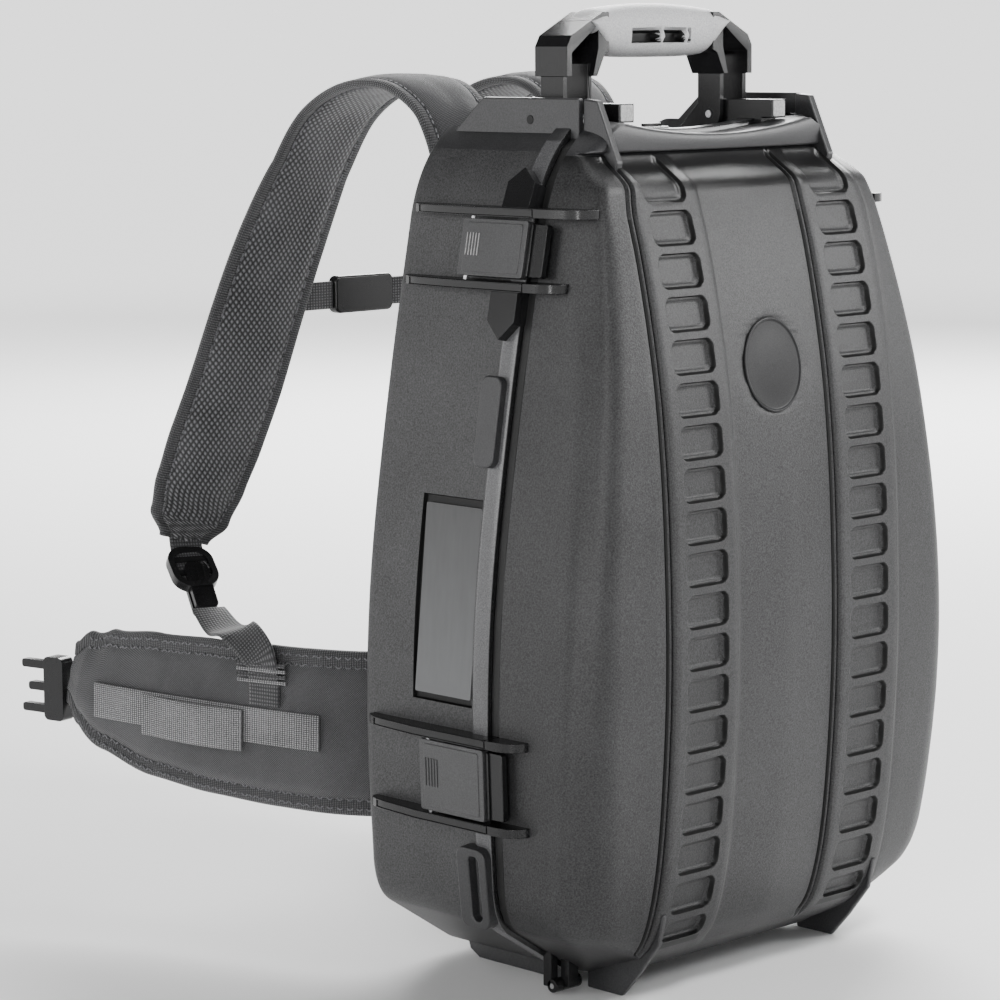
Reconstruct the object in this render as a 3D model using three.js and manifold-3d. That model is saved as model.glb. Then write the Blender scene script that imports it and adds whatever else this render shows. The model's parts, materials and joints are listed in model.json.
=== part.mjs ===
import * as THREE from 'three';
import Module from 'manifold-3d';
import { mergeVertices } from 'three/addons/utils/BufferGeometryUtils.js';

// A hard shell backpack: a moulded case that opens like a book on two bottom hinges, with latches on its
// sides, a folding carry handle between two rails on top, and a padded harness on its back.
// Millimetres. X to the right, Y to the back, Z up. The seam between lid and tub is the plane Y = 0.

// Gap between two pieces that meet
const FIT_GAP = 0.4;

// Case
const CASE_DEPTH = 129;
const CASE_BOTTOM = 12;
const SHOULDER_TOP = 562;
const WALL = 5;
const SEAM_GAP = 0.4;
const GROOVE_END = 7.2;
const GROOVE_DEPTH = 2.7;
const GASKET_INSET = 0.8;
const FLANGE_END = 21;
const FLANGE_STEP = 2.5;
const CAVITY_TOP = SHOULDER_TOP - 26;
const DECK_LOW = SHOULDER_TOP - 11;
const DECK_RADIUS = 456;
const FRONT_DECK = SHOULDER_TOP - 13;
const REAR_DECK = SHOULDER_TOP - 18;

// Lid front
const FACET_INSET = 24;
const FACET_DEPTH = 20;
const STRIP_INNER = 50;
const STRIP_OUTER = 110;
const STRIP_STEP = 3;
const FLANK_DROP = 6;
const LEDGE_FRONT = -20;
const LEDGE_BOTTOM = SHOULDER_TOP - 21;
const SLOPE_START = LEDGE_BOTTOM - 20;

// Ladder pockets on each strip
const POCKET_INNER = 60;
const POCKET_OUTER = 99;
const RUNG_COUNT = 18;
const RUNG_PITCH = 26.6;
const RUNG_TOP_Z = SLOPE_START - 13.4;
const RUNG_HEIGHT = 4.6;
const POCKET_DEPTH = 3;
const POCKET_CORNER = 5;

// Handle
const PIVOT_Y = 43.5;
const PIVOT_Z = SHOULDER_TOP - 1;
const ARM_INNER = 61;
const ARM_OUTER = 89;
const ARM_PLATE = 4.6;
const LEG_HALF_DEPTH = 10;
const HEAD_HALF_DEPTH = 14.5;
const GRIP_RISE = 70;
const GRIP_DEPTH = 31;
const GRIP_TOP = PIVOT_Z + GRIP_RISE;
const GRIP_BOTTOM = GRIP_TOP - GRIP_DEPTH;
const ELBOW_Z = GRIP_TOP - 20;
const HEAD_BOTTOM = GRIP_BOTTOM - 12;
const GRIP_HALF_LENGTH = 54;
const PIN_RADIUS = 2.5;
const PIN_CLEARANCE = 0.4;
const RAIL_INNER = 66.5;
const RAIL_OUTER = 80.5;
const RAIL_TOP = SHOULDER_TOP + 9;
const CHEEK_INNER = 103;
const CHEEK_OUTER = 108;
const CHEEK_TOP = SHOULDER_TOP + 13;

// Purge knob
const KNOB_RADIUS = 14.4;
const KNOB_HEIGHT = 5;
const KNOB_Y = 38.6;

// Feet and bottom hinges
const FOOT_INNER = 102.4;
const FOOT_OUTER = 106.4;
const HINGE_Z = 6;
const HINGE_RADIUS = 4.5;
const HINGE_PIN_RADIUS = 1.8;
const HINGE_START = 112;
const HINGE_KNUCKLE = 7;
const HINGE_MIDDLE = 10;

// Side latches: the guards' heights, and the lever between each pair
const UPPER_GUARDS = [SHOULDER_TOP - 57.5, SHOULDER_TOP - 103.5];
const LOWER_GUARDS = [174, 119];
const GUARD_THICKNESS = 6;
const GUARD_OUT = 13;
const GUARD_REAR = 116;
const LEVER_FRONT = 3;
const LEVER_REAR = 61;
const LEVER_PIVOT = 55;
const LEVER_INNER = 6;
const LEVER_OUTER = 11.5;
const LATCH_PIN_RADIUS = 1.6;

// Side label and badge
const LABEL_Z = 258;
const LABEL_HEIGHT = 132;
const LABEL_FRONT = 21;
const LABEL_BACK = 79;
const BADGE_Z = 404;
const BADGE_HALF_WIDTH = 27;
const BADGE_HALF_HEIGHT = 30;

// Harness
const PAD_WIDTH = 216;
const PAD_HEIGHT = 450;
const PAD_CORNER = 30;
const PAD_THICKNESS = 16.6;
const PAD_Z = 305;
const PAD_BACK = CASE_DEPTH + FIT_GAP + PAD_THICKNESS;
const STRAP_HALF_WIDTH = 37;
const STRAP_THICKNESS = 12;
const BELT_THICKNESS = 12;
const WEBBING_HALF_WIDTH = 12.5;
const WEBBING_THICKNESS = 2.2;
const WING_SURFACE = BELT_THICKNESS / 2 + WEBBING_THICKNESS / 2 + 0.8;
const BELT_WEBBING_Z = 146;
const STERNUM_REACH = 173.6;
const STERNUM_Z = 430;

const materials = {
  shell: new THREE.MeshStandardMaterial({ color: 0x3b3b3c, roughness: 0.62, metalness: 0 }),
  trim: new THREE.MeshStandardMaterial({ color: 0x262627, roughness: 0.45, metalness: 0 }),
  rubber: new THREE.MeshStandardMaterial({ color: 0x151516, roughness: 0.7, metalness: 0 }),
  grip: new THREE.MeshStandardMaterial({ color: 0x8b8c8d, roughness: 0.6, metalness: 0 }),
  label: new THREE.MeshStandardMaterial({ color: 0x6f7173, roughness: 0.3, metalness: 0 }),
  steel: new THREE.MeshStandardMaterial({ color: 0xb8babc, roughness: 0.3, metalness: 1 }),
  fabric: new THREE.MeshStandardMaterial({ color: 0x2a2a2c, roughness: 0.9, metalness: 0 }),
  webbing: new THREE.MeshStandardMaterial({ color: 0x232325, roughness: 0.85, metalness: 0 }),
};

const wasm = await Module();
wasm.setup();

const backpack = new THREE.Group();
const assembly = new THREE.Group();
backpack.add(assembly);

function addPiece(name, geometry, material) {
  const mesh = new THREE.Mesh(geometry, material);
  mesh.name = name;
  assembly.add(mesh);
  return mesh;
}

// Joins and cuts

function toSolid(geometry) {
  const plain = geometry.clone();
  plain.deleteAttribute('normal');
  plain.deleteAttribute('uv');
  const merged = mergeVertices(plain, 1e-4);
  const vertProperties = new Float32Array(merged.attributes.position.array);
  const triVerts = new Uint32Array(merged.index.array);
  return new wasm.Manifold(new wasm.Mesh({ numProp: 3, vertProperties, triVerts }));
}

function toGeometry(solid) {
  const mesh = solid.getMesh();
  const geometry = new THREE.BufferGeometry();
  geometry.setAttribute('position', new THREE.BufferAttribute(mesh.vertProperties, 3));
  geometry.setIndex(new THREE.BufferAttribute(mesh.triVerts, 1));
  return geometry;
}

function join(...geometries) {
  return toGeometry(geometries.map(toSolid).reduce((sum, part) => sum.add(part)));
}

function cut(geometry, ...cutters) {
  return toGeometry(cutters.map(toSolid).reduce((rest, cutter) => rest.subtract(cutter), toSolid(geometry)));
}

// The mirror image of a geometry in the plane X = 0, with its faces still pointing out
function mirrored(geometry) {
  const copy = geometry.index ? geometry.clone() : mergeVertices(geometry);
  copy.scale(-1, 1, 1);
  const order = copy.index.array;
  for (let i = 0; i < order.length; i += 3) {
    [order[i], order[i + 1]] = [order[i + 1], order[i]];
  }
  return copy;
}

function addPair(name, geometry, material) {
  addPiece(`${name}_right`, geometry, material);
  addPiece(`${name}_left`, mirrored(geometry), material);
}

// Shapes

function shapeOf(points) {
  return new THREE.Shape(points.map(([x, y]) => new THREE.Vector2(x, y)));
}

function roundedRectangle(width, height, radius) {
  const shape = new THREE.Shape();
  const w = width / 2;
  const h = height / 2;
  shape.moveTo(-w + radius, -h);
  shape.lineTo(w - radius, -h);
  shape.absarc(w - radius, -h + radius, radius, -Math.PI / 2, 0);
  shape.lineTo(w, h - radius);
  shape.absarc(w - radius, h - radius, radius, 0, Math.PI / 2);
  shape.lineTo(-w + radius, h);
  shape.absarc(-w + radius, h - radius, radius, Math.PI / 2, Math.PI);
  shape.lineTo(-w, -h + radius);
  shape.absarc(-w + radius, -h + radius, radius, Math.PI, 1.5 * Math.PI);
  return shape;
}

function extruded(shape, depth, curveSegments = 3) {
  return new THREE.ExtrudeGeometry(shape, { depth, curveSegments, bevelEnabled: false });
}

function box(x0, x1, y0, y1, z0, z1) {
  const geometry = new THREE.BoxGeometry(x1 - x0, y1 - y0, z1 - z0);
  return geometry.translate((x0 + x1) / 2, (y0 + y1) / 2, (z0 + z1) / 2);
}

// A plate with its outline in the plane of Y and Z, from x0 to x1
function sidePlate(points, x0, x1) {
  const geometry = extruded(shapeOf(points), x1 - x0);
  geometry.rotateX(Math.PI / 2);
  geometry.rotateZ(Math.PI / 2);
  return geometry.translate(x0, 0, 0);
}

// A plate with its outline in the plane of X and Z, from y0 to y1
function frontPlate(shape, y0, y1, curveSegments = 3) {
  const geometry = extruded(shape, y1 - y0, curveSegments);
  geometry.rotateX(Math.PI / 2);
  return geometry.translate(0, y1, 0);
}

function rodAlongX(radius, x0, x1, y, z, segments = 12) {
  const geometry = new THREE.CylinderGeometry(radius, radius, x1 - x0, segments);
  geometry.rotateZ(Math.PI / 2);
  return geometry.translate((x0 + x1) / 2, y, z);
}

// Turns every face over if the surface points inwards
function facingOut(positions, faces) {
  const corner = (i) => new THREE.Vector3().fromArray(positions, 3 * i);
  let volume = 0;
  for (const [a, b, c] of faces) volume += corner(a).dot(corner(b).cross(corner(c)));
  return volume > 0 ? faces : faces.map(([a, b, c]) => [a, c, b]);
}

// Skins a row of closed loops that all have the same number of points, and caps both ends
function skin(loops, flatten) {
  const count = loops[0].length;
  const positions = loops.flat().flatMap((p) => [p.x, p.y, p.z]);
  const faces = [];
  for (let k = 0; k + 1 < loops.length; k += 1) {
    for (let i = 0; i < count; i += 1) {
      const a = k * count + i;
      const b = k * count + ((i + 1) % count);
      faces.push([a, b, b + count], [a, b + count, a + count]);
    }
  }
  for (const k of [0, loops.length - 1]) {
    const flat = loops[k].map(flatten);
    const turn = THREE.ShapeUtils.area(flat) > 0;
    for (const [a, b, c] of THREE.ShapeUtils.triangulateShape(flat, [])) {
      const sameWay = THREE.ShapeUtils.area([flat[a], flat[b], flat[c]]) > 0 === turn;
      const face = sameWay === k > 0 ? [a, b, c] : [a, c, b];
      faces.push(face.map((i) => i + k * count));
    }
  }
  const geometry = new THREE.BufferGeometry();
  geometry.setAttribute('position', new THREE.Float32BufferAttribute(positions, 3));
  geometry.setIndex(facingOut(positions, faces).flat());
  return geometry;
}

// Flattens a convex loop of any slant, by its order alone
function onCircle(count) {
  const turn = (2 * Math.PI) / count;
  return (p, i) => new THREE.Vector2(Math.cos(i * turn), Math.sin(i * turn));
}

// Case outline, seen from the front

const rightSide = new THREE.Path();
rightSide.moveTo(112, CASE_BOTTOM);
rightSide.lineTo(166, 47);
rightSide.quadraticCurveTo(176.5, 54, 178.5, 76);
rightSide.splineThru([
  new THREE.Vector2(182.5, 175),
  new THREE.Vector2(177.5, 272),
  new THREE.Vector2(160, 389),
  new THREE.Vector2(138.5, SHOULDER_TOP - 62),
]);
rightSide.bezierCurveTo(133.5, SHOULDER_TOP - 40, 122, SHOULDER_TOP - 15, 94, SHOULDER_TOP);
const divisions = [1, 3, 9, 3];
const sideRows = rightSide.curves.flatMap((curve, i) => curve.getPoints(divisions[i]).slice(i === 0 ? 0 : 1));

// Linear interpolation in rows of [z, value], with z rising
function interpolate(rows, z) {
  const next = rows.findIndex(([height]) => height >= z);
  if (next < 0) return rows.at(-1)[1];
  if (next === 0) return rows[0][1];
  const [z0, v0] = rows[next - 1];
  const [z1, v1] = rows[next];
  return v0 + ((v1 - v0) * (z - z0)) / (z1 - z0);
}

const widthRows = sideRows.map((p) => [p.y, p.x]);
const halfWidth = (z) => interpolate(widthRows, z);

function deckHeight(x) {
  return DECK_LOW + DECK_RADIUS - Math.sqrt(DECK_RADIUS ** 2 - x ** 2);
}

// The whole outline as points of [x, z], moved inwards by a distance
function caseLoop(inset, top = SHOULDER_TOP) {
  const rows = sideRows.filter((p) => p.y < top - 1);
  const right = [...rows, new THREE.Vector2(halfWidth(top), top)];
  const deck = [];
  if (top === SHOULDER_TOP) {
    for (let x = 72; x >= -72; x -= 24) deck.push(new THREE.Vector2(x, deckHeight(x)));
    right[right.length - 1].y = deckHeight(halfWidth(top));
  }
  const left = right.map((p) => new THREE.Vector2(-p.x, p.y)).reverse();
  const loop = [...right, ...deck, ...left];
  return loop.map((p, i) => {
    const before = loop.at(i - 1);
    const after = loop[(i + 1) % loop.length];
    const along = after.clone().sub(before).normalize();
    return new THREE.Vector2(p.x - along.y * inset, p.y + along.x * inset);
  });
}

// Skins the case outline between front and back, each section given as [inset, y]
function caseSolid(sections, top) {
  const loops = sections.map(([inset, y]) => caseLoop(inset, top).map((p) => new THREE.Vector3(p.x, y, p.y)));
  return skin(loops, (p) => new THREE.Vector2(p.x, p.z));
}

// A ring that runs all the way round the rim, between two insets
function rimRing(outerInset, innerInset, y0, y1) {
  const outside = caseSolid([[outerInset, y0], [outerInset, y1]]);
  return cut(outside, caseSolid([[innerInset, y0 - 1], [innerInset, y1 + 1]]));
}

// Lid front surface: how far it stands in front of the seam at each height

const frontCurve = new THREE.SplineCurve([
  new THREE.Vector2(CASE_BOTTOM, -24),
  new THREE.Vector2(30, -53),
  new THREE.Vector2(56, -68),
  new THREE.Vector2(110, -78.3),
  new THREE.Vector2(205, -84.5),
  new THREE.Vector2(300, -83),
  new THREE.Vector2(374, -77.5),
  new THREE.Vector2(SLOPE_START - 93, -69.4),
  new THREE.Vector2(SLOPE_START - 40, -57.8),
  new THREE.Vector2(SLOPE_START, -45.5),
]);
const frontRows = frontCurve.getPoints(60).map((p) => [p.x, p.y]);
frontRows.push([LEDGE_BOTTOM, LEDGE_FRONT], [SHOULDER_TOP, LEDGE_FRONT]);
const frontY = (z) => interpolate(frontRows, z);

function lidSlice(z, inset = 0) {
  const w = halfWidth(z) - inset;
  const front = frontY(z) + inset;
  const facet = THREE.MathUtils.mapLinear(z, 75, SHOULDER_TOP - 62, FACET_INSET, 5);
  const crease = w - Math.max(facet, 4);
  const edgeY = Math.min(front + FACET_DEPTH + 0.027 * z, -6);
  const creaseY = Math.min(front + FLANK_DROP, -7);
  const half = [
    [w, inset > 0 ? WALL : -SEAM_GAP],
    [w - 1, edgeY],
    [crease, creaseY],
  ];
  if (inset === 0) {
    const steps = [
      [STRIP_OUTER + STRIP_STEP, STRIP_STEP],
      [STRIP_OUTER, 0],
      [STRIP_INNER, 0],
      [STRIP_INNER - STRIP_STEP, STRIP_STEP],
      [STRIP_INNER / 2, STRIP_STEP - 1.2],
    ];
    steps.forEach(([x, back], i) => half.push([Math.min(x, crease - 2 - i), front + back]));
  }
  const left = half.map(([x, y]) => new THREE.Vector3(-x, y, z));
  const middle = new THREE.Vector3(0, inset > 0 ? front : front + 1.4, z);
  const right = half.map(([x, y]) => new THREE.Vector3(x, y, z)).reverse();
  return [...left, middle, ...right];
}

function lidSolid(inset, bottom, top) {
  const heights = [20, 33, ...sideRows.map((p) => p.y), SLOPE_START, LEDGE_BOTTOM];
  const inside = heights.filter((z) => z > bottom + 2 && z < top - 2).sort((a, b) => a - b);
  const spaced = inside.filter((z, i) => i === 0 || z - inside[i - 1] > 4);
  const loops = [bottom, ...spaced, top].map((z) => lidSlice(z, inset));
  return skin(loops, (p) => new THREE.Vector2(p.x, p.y));
}

function ladderPocket(z, height) {
  const slope = Math.atan2(frontY(z + 5) - frontY(z - 5), 10);
  const width = POCKET_OUTER - POCKET_INNER;
  const shape = roundedRectangle(width, height, POCKET_CORNER);
  const pocket = extruded(shape, POCKET_DEPTH + 6, 1);
  pocket.rotateX(Math.PI / 2);
  pocket.translate(0, POCKET_DEPTH, 0);
  pocket.rotateX(-slope);
  return pocket.translate((POCKET_INNER + POCKET_OUTER) / 2, frontY(z), z);
}

function ladderPockets() {
  const pockets = [];
  const height = RUNG_PITCH - RUNG_HEIGHT;
  for (let i = 0; i <= RUNG_COUNT; i += 1) {
    const end = i === RUNG_COUNT;
    const z = RUNG_TOP_Z - (i - 0.5) * RUNG_PITCH;
    const pocket = ladderPocket(end ? z + 4 : z - (i === 0 ? 3 : 0), i === 0 || end ? height - 7 : height);
    pockets.push(pocket, mirrored(pocket));
  }
  return pockets;
}

// Side details are made on the right side, in a frame at height z whose first axis runs to the back,
// whose second runs up the wall and whose third points out of it

function wallSlope(z) {
  return Math.atan2(halfWidth(z - 12) - halfWidth(z + 12), 24);
}

function onWall(geometry, z) {
  const tilt = wallSlope(z);
  const back = new THREE.Vector3(0, 1, 0);
  const up = new THREE.Vector3(-Math.sin(tilt), 0, Math.cos(tilt));
  const out = new THREE.Vector3(Math.cos(tilt), 0, Math.sin(tilt));
  const frame = new THREE.Matrix4().makeBasis(back, up, out);
  frame.setPosition(halfWidth(z), 0, z);
  return geometry.applyMatrix4(frame);
}

function wallBlock(y0, y1, height, inner, outer, z, radius = 2) {
  const block = extruded(roundedRectangle(y1 - y0, height, radius), outer - inner, 1);
  return onWall(block.translate((y0 + y1) / 2, 0, inner), z);
}

// One latch guard is a level fin: half of it on the tub, and half on the lid with a rounded nose
function guard(z, noseY) {
  const w = halfWidth(z);
  const rear = [
    [w - 2, 0.5],
    [w + GUARD_OUT, 0.5],
    [w + GUARD_OUT, 66],
    [w + GUARD_OUT - 5, GUARD_REAR - 6],
    [w + GUARD_OUT - 8, GUARD_REAR],
    [w - 2, GUARD_REAR],
  ];
  const nose = [
    [w - 2, -SEAM_GAP],
    [w - 2, noseY],
    [w + 3, noseY],
    [w + GUARD_OUT - 3, noseY + 9],
    [w + GUARD_OUT, noseY + 17],
    [w + GUARD_OUT, -SEAM_GAP],
  ];
  const plates = [rear, nose].map((outline) => {
    const plate = extruded(shapeOf(outline), GUARD_THICKNESS);
    return plate.translate(0, 0, z - GUARD_THICKNESS / 2);
  });
  return { onTub: plates[0], onLid: plates[1] };
}

const guards = [
  guard(UPPER_GUARDS[0], -42),
  guard(UPPER_GUARDS[1], -27),
  guard(LOWER_GUARDS[0], -26),
  guard(LOWER_GUARDS[1], -25),
];

function house(z, up) {
  const peak = up ? 15 : -18;
  const foot = -peak * 0.8;
  const shape = shapeOf([[6, foot], [30, foot], [30, peak * 0.35], [18, peak], [6, peak * 0.35]]);
  return onWall(extruded(shape, 14).translate(0, 0, -4), z);
}

// Tub

function tubGeometry() {
  const outer = caseSolid([
    [GROOVE_DEPTH, SEAM_GAP],
    [GROOVE_DEPTH, GROOVE_END],
    [-FLANGE_STEP, GROOVE_END],
    [-FLANGE_STEP, FLANGE_END],
    [0, FLANGE_END + 2.5],
    [0, CASE_DEPTH - 9],
    [2, CASE_DEPTH - 2.6],
    [7, CASE_DEPTH],
  ]);
  const cavity = caseSolid([[WALL, -4], [WALL, CASE_DEPTH - WALL]], CAVITY_TOP);
  const frontDeck = box(-101, 101, 24, 60, FRONT_DECK, FRONT_DECK + 40);
  const rearDeck = box(-101, 101, 58, CASE_DEPTH + 5, REAR_DECK, REAR_DECK + 40);
  const shell = cut(outer, cavity, frontDeck, rearDeck);

  const sunk = SHOULDER_TOP - 22;
  const cheek = sidePlate(
    [[0.6, sunk], [CASE_DEPTH - 11, sunk], [CASE_DEPTH - 11, sunk + 9], [87, CHEEK_TOP], [0.6, CHEEK_TOP]],
    CHEEK_INNER, CHEEK_OUTER);
  const rail = sidePlate([
    [0.6, sunk],
    [77, sunk],
    [77, sunk + 9],
    [55, RAIL_TOP],
    [-9, RAIL_TOP],
    [-9, RAIL_TOP - 12],
    [0.6, RAIL_TOP - 12],
  ], RAIL_INNER, RAIL_OUTER);
  const foot = sidePlate([[14, 0], [98, 0], [107, 5], [111, 16], [14, 16]], FOOT_INNER, FOOT_OUTER);
  const lowPad = cut(
    wallBlock(8, 34, 54, -3, 8, 77, 5),
    wallBlock(14, 22, 44, 1, 12, 77, 3));
  const details = [
    cheek,
    rail,
    foot,
    lowPad,
    wallBlock(12, 30, 58, -3, 8, 373, 5),
    house(UPPER_GUARDS[0] + 10.5, true),
    house(UPPER_GUARDS[1] - 17.5, false),
    ...hingeKnuckles([0, HINGE_KNUCKLE + HINGE_MIDDLE], HINGE_KNUCKLE, 1),
    ...guards.map((pair) => pair.onTub),
  ];
  const body = join(shell, ...details, ...details.map(mirrored));

  const labelRecess = wallBlock(LABEL_FRONT, LABEL_BACK, LABEL_HEIGHT, -3, 12, LABEL_Z, 3);
  const bores = [
    rodAlongX(PIN_RADIUS + PIN_CLEARANCE, RAIL_INNER - 1, CHEEK_OUTER + 1, PIVOT_Y, PIVOT_Z),
    hingeBore(),
    ...latchBores(),
  ];
  const cutters = [labelRecess, ...bores];
  const groove = rimRing(GASKET_INSET - 0.3, GROOVE_DEPTH, SEAM_GAP - 0.2, GROOVE_END);
  return cut(body, groove, ...cutters, ...cutters.map(mirrored));
}

// Bottom hinges: knuckles on the right side, on the tub or on the lid

function hingeKnuckles(starts, length, side) {
  return starts.map((start) => {
    const x0 = HINGE_START + start + 0.2;
    const x1 = HINGE_START + start + length - 0.2;
    const barrel = rodAlongX(HINGE_RADIUS, x0, x1, 0, HINGE_Z);
    const leaf = box(x0, x1, side > 0 ? 1 : -8, side > 0 ? 8 : -1, HINGE_Z - 1, 30);
    return join(barrel, leaf);
  });
}

function hingeBore() {
  const length = 2 * HINGE_KNUCKLE + HINGE_MIDDLE;
  return rodAlongX(HINGE_PIN_RADIUS + PIN_CLEARANCE, HINGE_START - 1, HINGE_START + length + 1, 0, HINGE_Z);
}

// Latch levers turn on a pin between two guards, near their rear end

function latchMiddle([upper, lower]) {
  const middle = (upper + lower) / 2;
  return middle - ((LEVER_INNER + LEVER_OUTER) / 2) * Math.sin(wallSlope(middle));
}

function latchGap([upper, lower]) {
  return upper - lower - GUARD_THICKNESS;
}

function latchPin(guardHeights, radius, length) {
  const pin = new THREE.CylinderGeometry(radius, radius, length, 12);
  pin.translate(LEVER_PIVOT, 0, (LEVER_INNER + LEVER_OUTER) / 2);
  return onWall(pin, latchMiddle(guardHeights));
}

function latchBores() {
  return [UPPER_GUARDS, LOWER_GUARDS].map((heights) =>
    latchPin(heights, LATCH_PIN_RADIUS + 0.3, latchGap(heights) + 5));
}

function latchLever(guardHeights) {
  const z = latchMiddle(guardHeights);
  const height = latchGap(guardHeights) - 2.4 - (LEVER_OUTER - LEVER_INNER) * Math.sin(wallSlope(z));
  const plate = wallBlock(LEVER_FRONT, LEVER_REAR, height, LEVER_INNER, LEVER_OUTER, z, 1.5);
  const tongue = wallBlock(-11, 14, 16, LEVER_INNER, LEVER_INNER + 3, z, 1);
  const tooth = wallBlock(-11, -8, 16, LEVER_INNER - 2.5, LEVER_INNER + 1, z, 0.5);
  const lever = join(plate, tongue, tooth);
  return cut(lever, latchPin(guardHeights, LATCH_PIN_RADIUS + 0.3, height + 4));
}

function latchCatch(guardHeights) {
  return wallBlock(-6.5, -1.2, 16, -3, LEVER_INNER - 1, latchMiddle(guardHeights), 0.5);
}

// Lid

function lidGeometry() {
  const outer = lidSolid(0, CASE_BOTTOM, SHOULDER_TOP);
  const cavity = lidSolid(WALL, CASE_BOTTOM + WALL, LEDGE_BOTTOM - 8);
  const above = shapeOf([
    [-130, SHOULDER_TOP + 20],
    ...[-130, -95, -72, -48, -24, 0, 24, 48, 72, 95, 130].map((x) => [x, deckHeight(x)]),
    [130, SHOULDER_TOP + 20],
  ]);
  const shell = cut(outer, cavity, frontPlate(above, -60, 10), ...ladderPockets());
  const horn = sidePlate(
    [
      [-SEAM_GAP, SHOULDER_TOP - 40],
      [-SEAM_GAP, SHOULDER_TOP + 12.5],
      [-12.5, SHOULDER_TOP + 11.5],
      [-30, SHOULDER_TOP - 27],
      [-26, SHOULDER_TOP - 40],
    ], 99, 105);
  const foot = sidePlate(
    [[-3, 0], [-33.8, 0], [-49, 17], [-66, 39], [-70.5, 60], [-50, 60], [-3, 20]], FOOT_INNER, FOOT_OUTER);
  const details = [
    horn,
    foot,
    latchCatch(UPPER_GUARDS),
    latchCatch(LOWER_GUARDS),
    ...hingeKnuckles([HINGE_KNUCKLE], HINGE_MIDDLE, -1),
    ...guards.map((pair) => pair.onLid),
  ];
  const body = join(shell, ...details, ...details.map(mirrored));
  return cut(body, hingeBore(), mirrored(hingeBore()), badgeSeat(1));
}

function badgeSeat(extra) {
  const z = BADGE_Z;
  const shape = new THREE.Shape();
  shape.absellipse(0, 0, BADGE_HALF_WIDTH + extra * 0.5, BADGE_HALF_HEIGHT + extra * 0.5, 0, 2 * Math.PI);
  const plate = extruded(shape, 2.2 + extra * 4, 8);
  plate.rotateX(Math.PI / 2);
  plate.translate(0, 1.4 + (extra > 0 ? 1.6 : 1), 0);
  plate.rotateX(-Math.atan2(frontY(z + 20) - frontY(z - 20), 40));
  return plate.translate(0, frontY(z) + 1.4, z);
}

// Carry handle

function handleArm() {
  const outerPlate = new THREE.Shape();
  outerPlate.moveTo(PIVOT_Y - LEG_HALF_DEPTH, HEAD_BOTTOM);
  outerPlate.lineTo(PIVOT_Y - LEG_HALF_DEPTH, PIVOT_Z);
  outerPlate.absarc(PIVOT_Y, PIVOT_Z, LEG_HALF_DEPTH, Math.PI, 2 * Math.PI);
  outerPlate.lineTo(PIVOT_Y + LEG_HALF_DEPTH, HEAD_BOTTOM);
  const legPoints = outerPlate.getPoints(6).map((p) => [p.x, p.y]);
  const legTop = [[PIVOT_Y + LEG_HALF_DEPTH, HEAD_BOTTOM + 8], [PIVOT_Y - LEG_HALF_DEPTH, HEAD_BOTTOM + 8]];
  const innerLeg = sidePlate([...legPoints, ...legTop], ARM_INNER + 0.8, ARM_INNER + ARM_PLATE);
  const outerLeg = sidePlate([...legPoints, ...legTop], ARM_OUTER - ARM_PLATE, ARM_OUTER - 0.8);
  const y0 = PIVOT_Y - HEAD_HALF_DEPTH;
  const y1 = PIVOT_Y + HEAD_HALF_DEPTH;
  const headShape = shapeOf([
    [ARM_INNER, HEAD_BOTTOM],
    [ARM_OUTER, HEAD_BOTTOM],
    [ARM_OUTER, ELBOW_Z - 4],
    [ARM_OUTER - 4, ELBOW_Z + 3],
    [56, GRIP_TOP - 2],
    [50, GRIP_TOP - 2],
    [50, GRIP_BOTTOM + 4],
    [54, GRIP_BOTTOM + 2],
  ]);
  const hollowShape = shapeOf([
    [ARM_INNER + ARM_PLATE, HEAD_BOTTOM - 2],
    [ARM_OUTER - ARM_PLATE, HEAD_BOTTOM - 2],
    [ARM_OUTER - ARM_PLATE, ELBOW_Z - 8],
    [60, GRIP_TOP - 10],
    [60, GRIP_BOTTOM + 6],
  ]);
  const head = cut(frontPlate(headShape, y0, y1), frontPlate(hollowShape, y0 - 2, y1 - 4));
  const fork = [ARM_INNER + ARM_PLATE, ARM_OUTER - ARM_PLATE];
  const opening = box(...fork, y0 - 2, y1 + 2, PIVOT_Z - 21, HEAD_BOTTOM + 12);
  const arm = cut(join(head, innerLeg, outerLeg), opening);
  const bore = rodAlongX(PIN_RADIUS + PIN_CLEARANCE, ARM_INNER - 1, ARM_OUTER + 1, PIVOT_Y, PIVOT_Z);
  return cut(arm, bore);
}

// The rubber grip is a long rounded bar, thicker in its middle
function gripGeometry() {
  const loops = [];
  const steps = 8;
  for (let i = 0; i <= steps; i += 1) {
    const share = (2 * i) / steps - 1;
    const x = share * (GRIP_HALF_LENGTH - 4.4);
    const swell = Math.sqrt(1 - 0.35 * share ** 2);
    const loop = [];
    for (let k = 0; k < 12; k += 1) {
      const angle = (2 * Math.PI * k) / 12;
      const y = PIVOT_Y + 14 * Math.cos(angle);
      const z = (GRIP_TOP + GRIP_BOTTOM) / 2 + 16 * swell * Math.sin(angle);
      loop.push(new THREE.Vector3(x, y, z));
    }
    loops.push(loop);
  }
  return skin(loops, onCircle(12));
}

// Harness

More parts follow.
